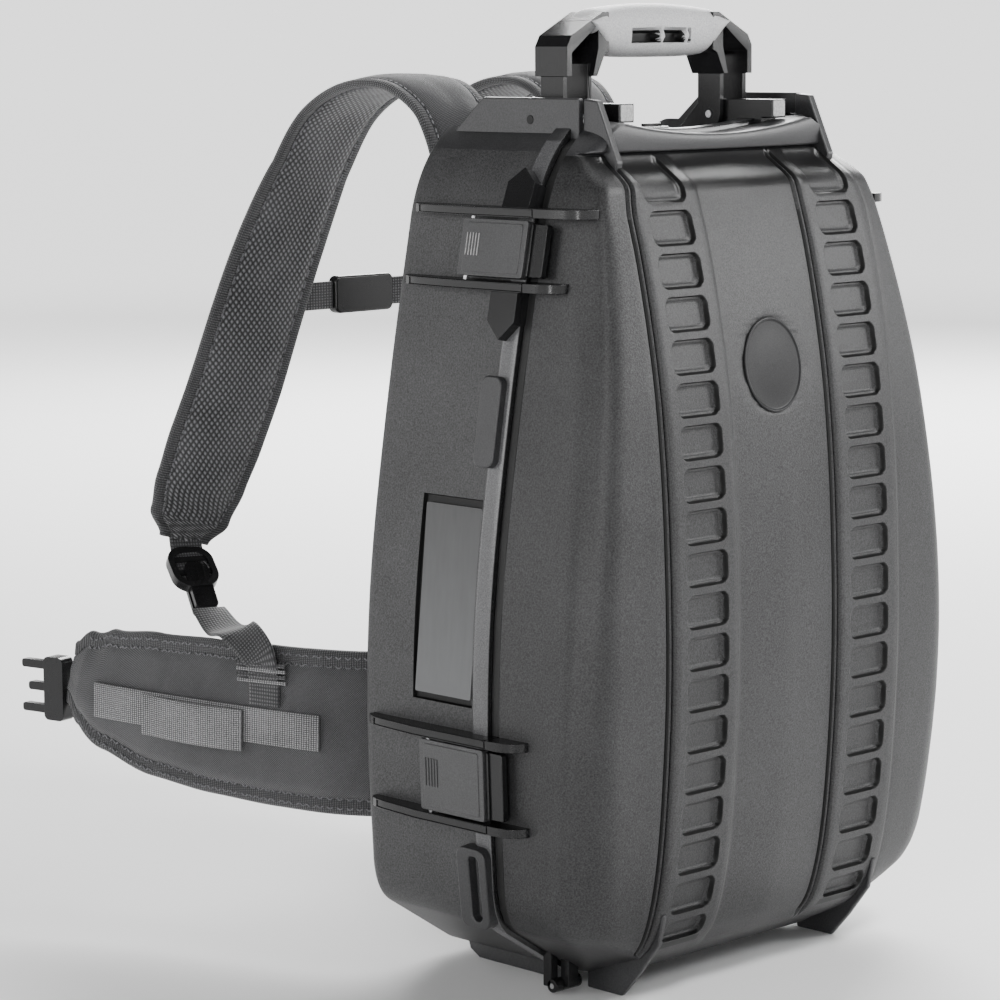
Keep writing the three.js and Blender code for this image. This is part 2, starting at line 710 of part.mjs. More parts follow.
// A flat band along a curve: each station is [x, y, z, half width, [direction of its width]]
function band(stations, thickness, steps, taperEnds = false) {
  const curve = new THREE.CatmullRomCurve3(stations.map(([x, y, z]) => new THREE.Vector3(x, y, z)));
  const loops = [];
  for (let i = 0; i <= steps; i += 1) {
    const t = i / steps;
    const place = t * (stations.length - 1);
    const from = stations[Math.min(Math.floor(place), stations.length - 2)];
    const to = stations[Math.min(Math.floor(place), stations.length - 2) + 1];
    const share = place - Math.min(Math.floor(place), stations.length - 2);
    const centre = curve.getPoint(t);
    const tangent = curve.getTangent(t);
    const across = new THREE.Vector3(...from[4]).lerp(new THREE.Vector3(...to[4]), share);
    across.addScaledVector(tangent, -across.dot(tangent)).normalize();
    const normal = tangent.clone().cross(across);
    const end = taperEnds && (i === 0 || i === steps) ? 0.86 : 1;
    const w = (from[3] + (to[3] - from[3]) * share) * end;
    const h = (thickness / 2) * end;
    const c = Math.min(h * 0.8, w * 0.5);
    const corners = [
      [w, -h + c], [w, h - c], [w - c, h], [-w + c, h], [-w, h - c], [-w, -h + c], [-w + c, -h], [w - c, -h],
    ];
    loops.push(corners.map(([a, b]) => centre.clone().addScaledVector(across, a).addScaledVector(normal, b)));
  }
  return skin(loops, onCircle(8));
}

const SIDEWAYS = [-1, 0, 0];
const UPWARDS = [0, 0, 1];
const STRAP_BACK = PAD_BACK + FIT_GAP + STRAP_THICKNESS / 2;
const STERNUM_Y = STRAP_BACK + STERNUM_REACH;

function shoulderStrap() {
  const w = STRAP_HALF_WIDTH;
  return band([
    [60, STRAP_BACK - 0.3, SHOULDER_TOP - 64, 26, SIDEWAYS],
    [60, STRAP_BACK + 2, SHOULDER_TOP - 30, 30, SIDEWAYS],
    [62, STRAP_BACK + 10, SHOULDER_TOP, w - 3, SIDEWAYS],
    [64, STRAP_BACK + 37.6, SHOULDER_TOP + 19, w, SIDEWAYS],
    [66, STRAP_BACK + 79.6, SHOULDER_TOP + 18, w, SIDEWAYS],
    [69, STRAP_BACK + 117.6, SHOULDER_TOP - 2, w, SIDEWAYS],
    [76, STRAP_BACK + 140.6, SHOULDER_TOP - 40, w, [-1, 0, 0]],
    [90, STRAP_BACK + 157.6, 470, w, [-1, -0.15, 0]],
    [100, STRAP_BACK + 170.6, 424, w, [-1, -0.22, 0]],
    [109, STRAP_BACK + 185.6, 372, w, [-1, -0.28, 0]],
    [117, STRAP_BACK + 198.6, 332, w, [-1, -0.3, 0]],
    [123, STRAP_BACK + 209.6, 300, w - 2, [-1, -0.34, 0]],
    [127, STRAP_BACK + 217.6, 276, w - 6, [-1, -0.36, 0]],
    [131, STRAP_BACK + 220.6, 258.5, w - 18, [-1, -0.36, 0]],
  ], STRAP_THICKNESS, 26, true);
}

// The hip belt wing's middle line from above, with its height and half width at each point
const wingStations = [
  [62, STRAP_BACK, 146, 55],
  [96, STRAP_BACK + 2, 146, 57],
  [126, STRAP_BACK + 15.6, 146, 57],
  [146, STRAP_BACK + 45.6, 146, 57],
  [160, STRAP_BACK + 87.6, 146.5, 56.5],
  [173, STRAP_BACK + 137.6, 148, 55],
  [184, STRAP_BACK + 187.6, 151, 52],
  [192, STRAP_BACK + 229.6, 157, 45],
  [196, STRAP_BACK + 251.6, 163, 36],
  [198, STRAP_BACK + 264.6, 166, 24],
];
const wingPlan = new THREE.CatmullRomCurve3(wingStations.map(([x, y, z]) => new THREE.Vector3(x, y, z)));

// A point on the outside of the wing, a share of the way along it
function besideWing(share, out, z) {
  const point = wingPlan.getPoint(share);
  const tangent = wingPlan.getTangent(share);
  const away = new THREE.Vector3(tangent.y, -tangent.x, 0).setLength(out);
  return [point.x + away.x, point.y + away.y, z];
}

function beltWing() {
  return band(wingStations.map((station) => [...station, UPWARDS]), BELT_THICKNESS, 18, true);
}

function strapAdjuster() {
  const outline = roundedRectangle(34, 56, 6);
  const slots = [16, 2, -14].map((y) => {
    const slot = new THREE.Path();
    slot.setFromPoints(shapeOf([[-12, y], [12, y], [12, y + 5], [-12, y + 5]]).getPoints());
    return slot;
  });
  outline.holes.push(...slots);
  const body = extruded(outline, 7, 3).translate(0, 0, -3.5);
  const along = new THREE.Vector3(14, -44, -38).normalize().negate();
  const across = new THREE.Vector3(-1, -0.3, 0);
  across.addScaledVector(along, -across.dot(along)).normalize();
  const frame = new THREE.Matrix4().makeBasis(across, along, across.clone().cross(along));
  frame.setPosition(139, STRAP_BACK + 197.6, 234);
  return body.applyMatrix4(frame);
}

function lowerWebbing() {
  const w = WEBBING_HALF_WIDTH;
  const alongWing = [-0.25, -1, 0];
  return band([
    [145.8, STRAP_BACK + 176.2, 215.5, w, [-1, -0.3, 0]],
    [156, STRAP_BACK + 147.6, 206, w, [-0.8, -0.6, 0.2]],
    [168, STRAP_BACK + 115.6, 209, w, [-0.4, -1, 0.3]],
    [...besideWing(0.46, WING_SURFACE + 2.4, 196), w, alongWing],
    [...besideWing(0.455, WING_SURFACE + 0.3, 180), w, alongWing],
    [...besideWing(0.455, WING_SURFACE, BELT_WEBBING_Z + w + 3), w, alongWing],
  ], WEBBING_THICKNESS, 10);
}

function beltWebbing() {
  const shares = [0.35, 0.43, 0.51, 0.59, 0.67, 0.75, 0.81];
  const stations = shares.map((share) => [
    ...besideWing(share, WING_SURFACE, BELT_WEBBING_Z + 10 * (share - 0.35)), WEBBING_HALF_WIDTH, UPWARDS,
  ]);
  return band(stations, WEBBING_THICKNESS, 10);
}

function beltBuckle(prongs) {
  const body = extruded(roundedRectangle(18, 46, 4), 12, 2).translate(0, 0, -6);
  const pieces = [body];
  if (prongs) {
    for (const y of [-16, 0, 16]) {
      const long = y === 0 ? 18 : 24;
      pieces.push(extruded(roundedRectangle(long, 6, 2), 6, 2).translate(8 + long / 2, y, -3));
    }
  } else {
    pieces.push(extruded(roundedRectangle(30, 42, 5), 12, 2).translate(16, 0, -6));
  }
  const geometry = join(...pieces);
  const out = new THREE.Vector3(0.2, 1, 0).normalize();
  const up = new THREE.Vector3(0, 0, 1);
  const frame = new THREE.Matrix4().makeBasis(out, up, out.clone().cross(up));
  frame.setPosition(201.5, STRAP_BACK + 278.6, 153);
  return geometry.applyMatrix4(frame);
}

// Assembly

addPiece('tub_shell', tubGeometry(), materials.shell);
addPiece('lid_shell', lidGeometry(), materials.shell);

const gasket = rimRing(GASKET_INSET, GROOVE_DEPTH - 0.3, SEAM_GAP + 0.4, GROOVE_END - 0.4);
addPiece('rim_gasket', gasket, materials.rubber);

addPiece('badge_plate', badgeSeat(0), materials.trim);
const labelPlate = wallBlock(LABEL_FRONT + 3.5, LABEL_BACK - 3.5, LABEL_HEIGHT - 10, -2.6, -1.2, LABEL_Z, 1);
addPair('label_plate', labelPlate, materials.label);

const knob = new THREE.CylinderGeometry(KNOB_RADIUS - 0.8, KNOB_RADIUS, KNOB_HEIGHT, 24).rotateX(Math.PI / 2);
addPiece('purge_knob', knob.translate(0, KNOB_Y, FRONT_DECK + FIT_GAP + KNOB_HEIGHT / 2), materials.trim);

addPair('handle_arm', handleArm(), materials.trim);
addPiece('handle_grip', gripGeometry(), materials.grip);
const handlePin = rodAlongX(PIN_RADIUS, ARM_INNER + 0.2, CHEEK_OUTER - 0.3, PIVOT_Y, PIVOT_Z);
addPair('handle_pin', handlePin, materials.steel);

for (const [place, heights] of [['upper', UPPER_GUARDS], ['lower', LOWER_GUARDS]]) {
  addPair(`latch_lever_${place}`, latchLever(heights), materials.trim);
  addPair(`latch_pin_${place}`, latchPin(heights, LATCH_PIN_RADIUS, latchGap(heights) + 3), materials.steel);
}

const hingeLength = 2 * HINGE_KNUCKLE + HINGE_MIDDLE;
const hingePin = rodAlongX(HINGE_PIN_RADIUS, HINGE_START, HINGE_START + hingeLength, 0, HINGE_Z);
addPair('hinge_pin', hingePin, materials.steel);

const padShape = roundedRectangle(PAD_WIDTH, PAD_HEIGHT, PAD_CORNER);
const backPad = frontPlate(padShape, CASE_DEPTH + FIT_GAP, PAD_BACK, 4).translate(0, 0, PAD_Z);
addPiece('back_pad', backPad, materials.fabric);
addPair('shoulder_strap', shoulderStrap(), materials.fabric);
addPair('strap_adjuster', strapAdjuster(), materials.trim);
addPair('lower_webbing', lowerWebbing(), materials.webbing);
addPair('belt_wing', beltWing(), materials.fabric);
addPair('belt_webbing', beltWebbing(), materials.webbing);
addPiece('belt_buckle_plug', mirrored(beltBuckle(true)), materials.trim);
addPiece('belt_buckle_socket', beltBuckle(false), materials.trim);

const sternumHalf = band([
  [73.6, STERNUM_Y, STERNUM_Z, 10, [0, 0, 1]],
  [46, STERNUM_Y, STERNUM_Z, 10, [0, 0, 1]],
  [28.5, STERNUM_Y, STERNUM_Z, 10, [0, 0, 1]],
], WEBBING_THICKNESS, 4);
addPair('sternum_webbing', sternumHalf, materials.webbing);
const sternumBuckle = frontPlate(roundedRectangle(56, 27, 5), STERNUM_Y - 4.5, STERNUM_Y + 4.5);
addPiece('sternum_buckle', sternumBuckle.translate(0, 0, STERNUM_Z), materials.trim);

// The origin is the middle of the whole bounding box, at its foot
const bounds = new THREE.Box3().setFromObject(assembly);
const middle = bounds.getCenter(new THREE.Vector3());
assembly.position.set(-middle.x, -middle.y, -bounds.min.z);

export default backpack;
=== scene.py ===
import json
import math

import bmesh
import bpy
import numpy as np
from mathutils import Matrix, Vector, noise


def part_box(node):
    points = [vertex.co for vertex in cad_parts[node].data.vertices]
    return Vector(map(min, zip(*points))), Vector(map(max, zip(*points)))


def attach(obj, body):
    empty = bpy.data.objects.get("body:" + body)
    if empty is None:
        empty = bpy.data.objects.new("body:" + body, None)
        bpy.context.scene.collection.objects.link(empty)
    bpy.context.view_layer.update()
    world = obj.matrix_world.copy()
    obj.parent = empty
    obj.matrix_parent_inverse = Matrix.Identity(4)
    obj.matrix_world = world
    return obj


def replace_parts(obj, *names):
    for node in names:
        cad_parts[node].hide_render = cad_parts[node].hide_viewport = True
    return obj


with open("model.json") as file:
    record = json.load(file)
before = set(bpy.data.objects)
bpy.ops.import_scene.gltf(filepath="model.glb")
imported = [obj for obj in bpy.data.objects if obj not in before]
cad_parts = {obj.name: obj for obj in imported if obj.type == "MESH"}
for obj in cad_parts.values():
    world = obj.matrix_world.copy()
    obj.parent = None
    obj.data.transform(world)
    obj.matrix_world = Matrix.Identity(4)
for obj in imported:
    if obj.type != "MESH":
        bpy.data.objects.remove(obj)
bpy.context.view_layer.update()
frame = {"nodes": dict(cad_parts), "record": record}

# A hard shell backpack. Sizes are in millimetres in the drawing frame of the part: X to the right,
# Y to the back with the seam of the case at Y = 0, Z up from the floor.

MM = 0.001
pin_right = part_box("handle_pin_right")
pin_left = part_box("handle_pin_left")
CASE_DEPTH = 129.0
SHIFT = Vector(((pin_right[1][0] + pin_left[0][0]) / 2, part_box("tub_shell")[1][1] - CASE_DEPTH * MM, 0))

CASE_BOTTOM = 12.0
SHOULDER_TOP = 562.0
SEAM_GAP = 0.4
LEDGE_BOTTOM = 541.5
RUNG_COUNT = 18
RUNG_PITCH = 26.6
RUNG_TOP_Z = 507.6
RUNG_HEIGHT = 4.6
POCKET_INNER = 60.0
POCKET_OUTER = 99.0
POCKET_RADIUS = 6.5
PIVOT_Y = 43.5
PIVOT_Z = 561.0
RAIL_TOP = 571.0
SLOT_Z = 613.0
SLOT_HALF = 28.5
KNOB_Y = 38.6
DECK_LOW = 551.0
DECK_RADIUS = 456.0
PAD_Z = 305.0
SIDES = (("right", 1), ("left", -1))
LABEL_Z = 258.0
LABEL_HALF = 66.0
LABEL_FRONT = 24.3
LABEL_REAR = 78.8
GUARDS = [(504.5, -42.0), (458.5, -27.0), (174.0, -26.0), (119.0, -25.0)]
GUARD_OUT = 13.0
GUARD_REAR = 116.0
LATCHES = {"upper": (504.5, 458.5), "lower": (174.0, 119.0)}
LEVER_INNER = 6.0
LEVER_OUTER = 11.5

BODY_OF = {node: body for body, nodes in frame["record"]["behaviour"]["bodies"].items() for node in nodes}


def at(x, y, z):
    return Vector((x * MM, y * MM, z * MM)) + SHIFT


def smooth(t):
    t = min(max(t, 0.0), 1.0)
    return t * t * (3 - 2 * t)


# Camera and light

def make_camera():
    data = bpy.data.cameras.new("camera")
    data.lens = 121.525
    data.sensor_width = 36
    data.clip_end = 200
    camera = bpy.data.objects.new("camera", data)
    bpy.context.scene.collection.objects.link(camera)
    right = Vector((0.7135375, -0.7005854, -0.0066582))
    up = Vector((0.101396, 0.093858, 0.9904088))
    back = Vector((-0.693241, -0.7073689, 0.1380078))
    turn = Matrix((right, up, back)).transposed().to_4x4()
    camera.matrix_world = Matrix.Translation(at(-1639.0, -1488.9, 618.0)) @ turn
    bpy.context.scene.camera = camera


def area_light(name, place, target, size, power):
    data = bpy.data.lights.new(name, "AREA")
    data.energy = power
    data.shape = "RECTANGLE"
    data.size = size[0]
    data.size_y = size[1]
    lamp = bpy.data.objects.new(name, data)
    bpy.context.scene.collection.objects.link(lamp)
    lamp.location = place
    lamp.rotation_euler = (Vector(target) - Vector(place)).to_track_quat("-Z", "Y").to_euler()


def make_stage():
    area_light("key_light", (0.22, -0.8, 1.2), (0.02, -0.25, 0.45), (0.34, 0.3), 11)
    area_light("front_light", (1.04, -1.22, 0.86), (0, -0.26, 0.42), (0.4, 0.36), 12)
    area_light("left_light", (-1.9, -1.2, 0.8), (0, 0, 0.3), (0.18, 1.7), 18)
    area_light("side_light", (-2.2, 0.9, 1.0), (0, 0.1, 0.25), (0.6, 1.2), 13)
    area_light("top_light", (0.3, 0.6, 2.3), (0, 0, 0.3), (1.0, 0.6), 9)
    area_light("floor_light", (2.6, 1.8, 2.2), (0.3, 0.1, 0.0), (2.2, 2.2), 300)
    world = bpy.data.worlds.new("studio")
    world.use_nodes = True
    set_inputs(world.node_tree.nodes["Background"], {"Color": (1, 1, 1, 1), "Strength": 0.08})
    bpy.context.scene.world = world
    make_floor()


def make_floor():
    """A round floor, level for 30 m and turned up at its far rim, so that it fills the background."""
    count = 64
    rise = ((2, 0), (6, 0), (30, 0), (50, 3), (60, 12))
    rings = [[(x, y, z) for x, y in circle(r, count)] for r, z in rise]
    faces = [(0, 1 + i, 1 + (i + 1) % count) for i in range(count)]
    faces += [tuple(1 + v for v in f)[::-1] for f in grid_faces(len(rings), count, True)]
    mesh = new_mesh("floor", [[(0, 0, 0)]] + rings, faces)
    mesh.shade_smooth()
    floor = bpy.data.objects.new("floor", mesh)
    bpy.context.scene.collection.objects.link(floor)
    paint = Paint("floor")
    reach = paint.node("VectorMath", paint.coords(), operation="LENGTH").outputs["Value"]
    glow = paint.span(reach, 0.7, 6.5, 1.7, "SMOOTHSTEP")
    paint.finish({"Emission Strength": glow},
                 {"Base Color": (0.93, 0.93, 0.93, 1), "Roughness": 0.8, "Emission Color": (1, 1, 1, 1)})
    mesh.materials.append(paint.material)


# Materials

# How far patches of wear change the roughness, and the scale of a wave texture with bands 1 m apart
WEAR = 0.06
WAVE_SCALE = 0.314


def set_inputs(node, values):
    for name, value in values.items():
        node.inputs[name].default_value = value


class Paint:
    """A new material and the nodes that feed its shader."""

    def __init__(self, name):
        self.material = bpy.data.materials.new(name)
        self.material.use_nodes = True
        self.nodes = self.material.node_tree.nodes
        self.links = self.material.node_tree.links

    def node(self, kind, *sources, **settings):
        """A new node with its settings, and its first inputs set or linked in order."""
        made = self.nodes.new("ShaderNode" + kind)
        for name, value in settings.items():
            setattr(made, name, value)
        for socket, source in zip(made.inputs, sources):
            if isinstance(source, (int, float)):
                socket.default_value = source
            else:
                self.links.new(source, socket)
        return made

    def coords(self, kind="Object"):
        return self.node("TexCoord").outputs[kind]

    def math(self, kind, *sources):
        return self.node("Math", *sources, operation=kind).outputs[0]

    def blend(self, first, *others):
        """The sum of parts, each a source and its share."""
        total = self.math("MULTIPLY", *first)
        for part in others:
            total = self.math("ADD", total, self.math("MULTIPLY", *part))
        return total

    def noise(self, coords, scale, detail=2.0, roughness=0.5):
        made = self.node("TexNoise", coords)
        set_inputs(made, {"Scale": scale, "Detail": detail, "Roughness": roughness})
        return made.outputs["Fac"]

    def wave(self, coords, spacing, angle):
        """Bands that lie a spacing in mm apart, turned by an angle in degrees."""
        turn = self.node("Mapping", coords)
        set_inputs(turn, {"Rotation": (0, 0, math.radians(angle))})
        made = self.node("TexWave", turn.outputs["Vector"], wave_profile="SIN", bands_direction="X")
        set_inputs(made, {"Scale": WAVE_SCALE / (spacing * MM), "Distortion": 0.0, "Detail": 1})
        return made.outputs["Fac"]

    def span(self, source, low, high, top=1.0, kind="LINEAR"):
        """Goes from 0 to top while the source goes from low to high."""
        made = self.node("MapRange", source, interpolation_type=kind)
        set_inputs(made, {"From Min": low, "From Max": high, "To Max": top})
        return made.outputs["Result"]

    def ramp(self, source, low, high, start=0.35, end=0.65):
        made = self.node("ValToRGB", source)
        for element, place, color in zip(made.color_ramp.elements, (start, end), (low, high)):
            element.position = place
            element.color = (*color, 1)
        return made.outputs["Color"]

    def bump(self, height, strength, distance):
        made = self.node("Bump")
        set_inputs(made, {"Strength": strength, "Distance": distance})
        self.links.new(height, made.inputs["Height"])
        return made.outputs["Normal"]

    def finish(self, sources, values):
        """Links some inputs of the shader, sets others and returns the material."""
        shader = self.nodes["Principled BSDF"]
        for name, source in sources.items():
            self.links.new(source, shader.inputs[name])
        set_inputs(shader, values)
        return self.material


def plastic(name, low, high, roughness, grain, strength, gloss=0.5):
    """Moulded plastic: a fine grain in its height and its shade, and broad patches of wear in its gloss."""
    paint = Paint(name)
    coords = paint.coords()
    fine = paint.noise(coords, grain, 3, 0.65)
    broad = paint.noise(coords, 14, 4, 0.6)
    shade = paint.ramp(paint.blend((fine, 0.8), (broad, 0.2)), low, high, 0.36, 0.66)
    rough = paint.math("MULTIPLY_ADD", broad, WEAR, roughness - WEAR / 2)
    return paint.finish({"Base Color": shade, "Roughness": rough, "Normal": paint.bump(fine, strength, 0.0004)},
                        {"Specular IOR Level": gloss})


def woven(name, low, high, first, second, roughness, strength):
    """Cloth with two sets of threads, each (spacing in mm, angle). It reads the UV map in metres."""
    paint = Paint(name)
    flat = paint.coords("UV")
    weave = paint.math("MULTIPLY", paint.wave(flat, *first), paint.wave(flat, *second))
    fuzz = paint.noise(paint.coords(), 900, 3)
    broad = paint.noise(paint.coords(), 25, 3)
    shade = paint.ramp(paint.blend((weave, 0.62), (fuzz, 0.28), (broad, 0.22)), low, high, 0.2, 0.85)
    height = paint.math("ADD", weave, paint.math("MULTIPLY", fuzz, 0.3))
    return paint.finish({"Base Color": shade, "Normal": paint.bump(height, strength, 0.0006)},
                        {"Roughness": roughness, "Sheen Weight": 0.25, "Sheen Roughness": 0.5})


def shell_plastic(name):
    """The lid: grained plastic that turns smooth over a soft, bowed line below its top slope, where painted shade
    darkens its colour.
    """
    paint = Paint(name)
    coords = paint.coords()
    fine = paint.noise(coords, 900, 3, 0.65)
    broad = paint.noise(coords, 12, 4, 0.6)
    mixed = paint.blend((fine, 0.8), (broad, 0.2))
    grained = paint.ramp(mixed, (0.003, 0.003, 0.0031), (0.046, 0.046, 0.0475), 0.34, 0.68)
    split = paint.node("SeparateXYZ", coords)
    bow = paint.math("MULTIPLY", paint.math("POWER", split.outputs["X"], 2.0), 1.4)
    height = paint.math("SUBTRACT", split.outputs["Z"], bow)
    height = paint.math("ADD", height, paint.math("MULTIPLY", broad, 0.006))
    # Painted shade: above the bowed line the colour is mixed towards near black, standing in for the shaded
    # reflection on the top slope.
    share = paint.span(height, 0.506, 0.524, kind="SMOOTHSTEP")
    mix = paint.node("Mix", data_type="RGBA")
    paint.links.new(share, mix.inputs["Factor"])
    paint.links.new(grained, mix.inputs["A"])
    set_inputs(mix, {"B": (0.006, 0.006, 0.0062, 1)})
    wear = paint.math("ADD", paint.math("MULTIPLY", broad, WEAR), 0.42)
    rough = paint.math("ADD", wear, paint.math("MULTIPLY", share, -0.14))
    return paint.finish({"Base Color": mix.outputs["Result"], "Roughness": rough,
                         "Normal": paint.bump(fine, 0.5, 0.0004)}, {"Specular IOR Level": 0.4})


def label_film(name):
    """A glossy blank label, paler towards its foot, with faint streaks of wear."""
    paint = Paint(name)
    coords = paint.coords()
    share = paint.span(paint.node("SeparateXYZ", coords).outputs["Z"], 0.33, 0.19)
    streak = paint.node("Mapping", coords)
    set_inputs(streak, {"Scale": (1, 1, 0.12)})
    wear = paint.noise(streak.outputs["Vector"], 260, 3)
    tone = paint.math("ADD", paint.math("MULTIPLY", wear, 0.22), share)
    shade = paint.ramp(tone, (0.024, 0.0245, 0.025), (0.105, 0.107, 0.11), 0.05, 1.15)
    return paint.finish({"Base Color": shade, "Normal": paint.bump(wear, 0.05, 0.0002)}, {"Roughness": 0.22})


def metal(name):
    paint = Paint(name)
    brushed = paint.noise(paint.coords(), 700, 4)
    shade = paint.ramp(brushed, (0.4, 0.4, 0.41), (0.62, 0.62, 0.63))
    return paint.finish({"Base Color": shade, "Normal": paint.bump(brushed, 0.15, 0.0002)},
                        {"Metallic": 1, "Roughness": 0.32})


SHELL = shell_plastic("shell")
TUB_SHELL = plastic("tub_shell", (0.006, 0.006, 0.0062), (0.06, 0.06, 0.062), 0.5, 900, 0.5)
SMOOTH_SHELL = plastic("smooth_shell", (0.012, 0.012, 0.013), (0.038, 0.038, 0.04), 0.4, 1100, 0.2)
# Painted shade: a near-black material put on pocket walls, pressed lines, recess walls, pin holes and the grip's
# slot, where shade falls.
RECESS_SHADE = plastic("recess_shade", (0.003, 0.003, 0.003), (0.009, 0.009, 0.009), 0.45, 1100, 0.1, 0.25)
TRIM = plastic("trim", (0.004, 0.004, 0.004), (0.014, 0.014, 0.015), 0.23, 1200, 0.1, 0.36)
LEVER = plastic("lever", (0.026, 0.026, 0.027), (0.064, 0.064, 0.066), 0.3, 1200, 0.12)
# Painted highlight: the seam bead is given a lighter grey than the tub, standing in for the light along it.
FLANGE_HIGHLIGHT = plastic("flange_highlight", (0.05, 0.05, 0.052), (0.12, 0.12, 0.124), 0.26, 1200, 0.12)
BADGE = plastic("badge", (0.01, 0.01, 0.0105), (0.024, 0.024, 0.025), 0.3, 1300, 0.1, 0.15)
LABEL = label_film("label")
RUBBER = plastic("rubber", (0.004, 0.004, 0.004), (0.012, 0.012, 0.012), 0.6, 900, 0.3)
GRIP = plastic("grip_rubber", (0.26, 0.26, 0.265), (0.42, 0.42, 0.425), 0.5, 1100, 0.35)
# Painted highlight: a light grey for faces that catch the light, the front faces of the rails and the ribs of the
# upper levers.
PAINTED_HIGHLIGHT = plastic("painted_highlight", (0.2, 0.2, 0.2), (0.4, 0.4, 0.4), 0.3, 700, 0.2)
STEEL = metal("steel")
MESH_CLOTH = woven("mesh_cloth", (0.001, 0.001, 0.0012), (0.21, 0.21, 0.22), (3.2, 50), (3.6, -24), 0.8, 1.0)
OUTER_CLOTH = woven("outer_cloth", (0.009, 0.009, 0.01), (0.085, 0.085, 0.09), (1.0, 8), (0.9, 98), 0.85, 0.6)
BELT_CLOTH = woven("belt_cloth", (0.014, 0.014, 0.015), (0.14, 0.14, 0.146), (1.1, 45), (1.1, -45), 0.85, 0.6)
BINDING = woven("binding", (0.008, 0.008, 0.009), (0.11, 0.11, 0.115), (1.7, 90), (1.2, 0), 0.8, 0.8)
WEBBING = woven("webbing", (0.006, 0.006, 0.007), (0.11, 0.11, 0.115), (2.6, 90), (2.0, 0), 0.75, 1.0)
BELT_WEBBING = woven("belt_ribs", (0.014, 0.014, 0.015), (0.5, 0.5, 0.51), (1.9, 90), (1.4, 0), 0.75, 1.0)
THREAD = plastic("thread", (0.07, 0.07, 0.075), (0.2, 0.2, 0.21), 0.7, 900, 0.3)


# Mesh helpers

def finish_object(name, mesh, materials, body, smooth_angle=None):
    obj = bpy.data.objects.new(name, mesh)
    bpy.context.scene.collection.objects.link(obj)
    for material in materials:
        mesh.materials.append(material)
    mesh.shade_smooth()
    if smooth_angle:
        mesh.set_sharp_from_angle(angle=math.radians(smooth_angle))
    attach(obj, body)
    return obj


def add_bevel(obj, width, segments=3, angle=30):
    bevel = obj.modifiers.new("bevel", "BEVEL")
    bevel.width = width * MM
    bevel.segments = segments
    bevel.limit_method = "ANGLE"
    bevel.angle_limit = math.radians(angle)
    bevel.harden_normals = True
    bevel.use_clamp_overlap = True


def new_mesh(name, rings, faces):
    mesh = bpy.data.meshes.new(name)
    mesh.from_pydata([tuple(v) for ring in rings for v in ring], [], faces)
    return mesh


def tidy_normals(mesh):
    bm = bmesh.new()
    bm.from_mesh(mesh)
    bmesh.ops.remove_doubles(bm, verts=bm.verts, dist=1e-7)
    bmesh.ops.recalc_face_normals(bm, faces=bm.faces)
    bm.to_mesh(mesh)
    bm.free()


def drawn(point):
    """A place of the scene in the drawing's frame, in millimetres."""
    return tuple((point - SHIFT) / MM)


def circle(radius, count, cx=0.0, cy=0.0):
    angles = [2 * math.pi * i / count for i in range(count)]
    return [(cx + radius * math.cos(a), cy + radius * math.sin(a)) for a in angles]


def rounded(cx, cy, width, height, radius, steps=5):
    """A rounded rectangle as a list of points, anticlockwise."""
    points = []
    for corner, (sx, sy) in enumerate([(1, -1), (1, 1), (-1, 1), (-1, -1)]):
        x = cx + sx * (width / 2 - radius)
        y = cy + sy * (height / 2 - radius)
        for i in range(steps + 1):
            angle = math.radians(-90 + 90 * corner + 90 * i / steps)
            points.append((x + radius * math.cos(angle), y + radius * math.sin(angle)))
    return points


def side_place(a, b, c):
    return (c, a, b)


def front_place(a, b, c):
    return (a, c, b)


def plan_place(a, b, c):
    return (a, b, c)


def wall_place(z):
    """Places (back, up the wall, out of the wall) on the right side of the case at height z."""
    tilt = math.atan2(half_width(z - 12) - half_width(z + 12), 24)
    w = half_width(z)

    def place(a, b, c):
        return (w - b * math.sin(tilt) + c * math.cos(tilt), a, z + b * math.cos(tilt) + c * math.sin(tilt))
    return place


def mirror_of(place):
    def place_left(a, b, c):
        x, y, z = place(a, b, c)
        return (-x, y, z)
    return place_left


class Moulding:
    """Collects prisms with one material and one bevel into one object."""

    def __init__(self):
        self.verts = []
        self.faces = []

    def stack(self, loops, place, closed=False):
        """Walls between loops of as many points, each (outline, level), with both ends capped or joined."""
        first = len(self.verts)
        n = len(loops[0][0])
        for outline, level in loops:
            self.verts += [at(*place(a, b, level)) for a, b in outline]
        if not closed:
            self.faces.append([first + i for i in range(n)][::-1])
            self.faces.append([first + (len(loops) - 1) * n + i for i in range(n)])
        for k in range(len(loops) if closed else len(loops) - 1):
            a = first + k * n
            b = first + (k + 1) % len(loops) * n
            for i in range(n):
                j = (i + 1) % n
                self.faces.append([a + i, a + j, b + j, b + i])

    def prism(self, outline, place, low, high):
        self.stack([(outline, low), (outline, high)], place)

    def both(self, outline, place, low, high):
        self.prism(outline, place, low, high)
        self.prism(outline, mirror_of(place), low, high)

    def dish(self, outline, hole, place, low, floor, high):
        """A block with a pocket of the hole's outline in its top, on both sides."""
        for where in (place, mirror_of(place)):
            self.stack([(outline, low), (outline, high), (hole, high), (hole, floor)], where)

    def ring(self, outline, hole, place, low, high):
        """A plate with a window."""
        self.stack([(outline, low), (outline, high), (hole, high), (hole, low)], place, True)

    def rod(self, radius, place, low, high, cx, cy, count=20):
        self.prism(circle(radius, count, cx, cy), place, low, high)

    def build(self, name, material, body, bevel, segments=3, angle=30):
        mesh = new_mesh(name, [self.verts], self.faces)
        tidy_normals(mesh)
        obj = finish_object(name, mesh, [material], body, 35)
        if bevel:
            add_bevel(obj, bevel, segments, angle)
        return obj


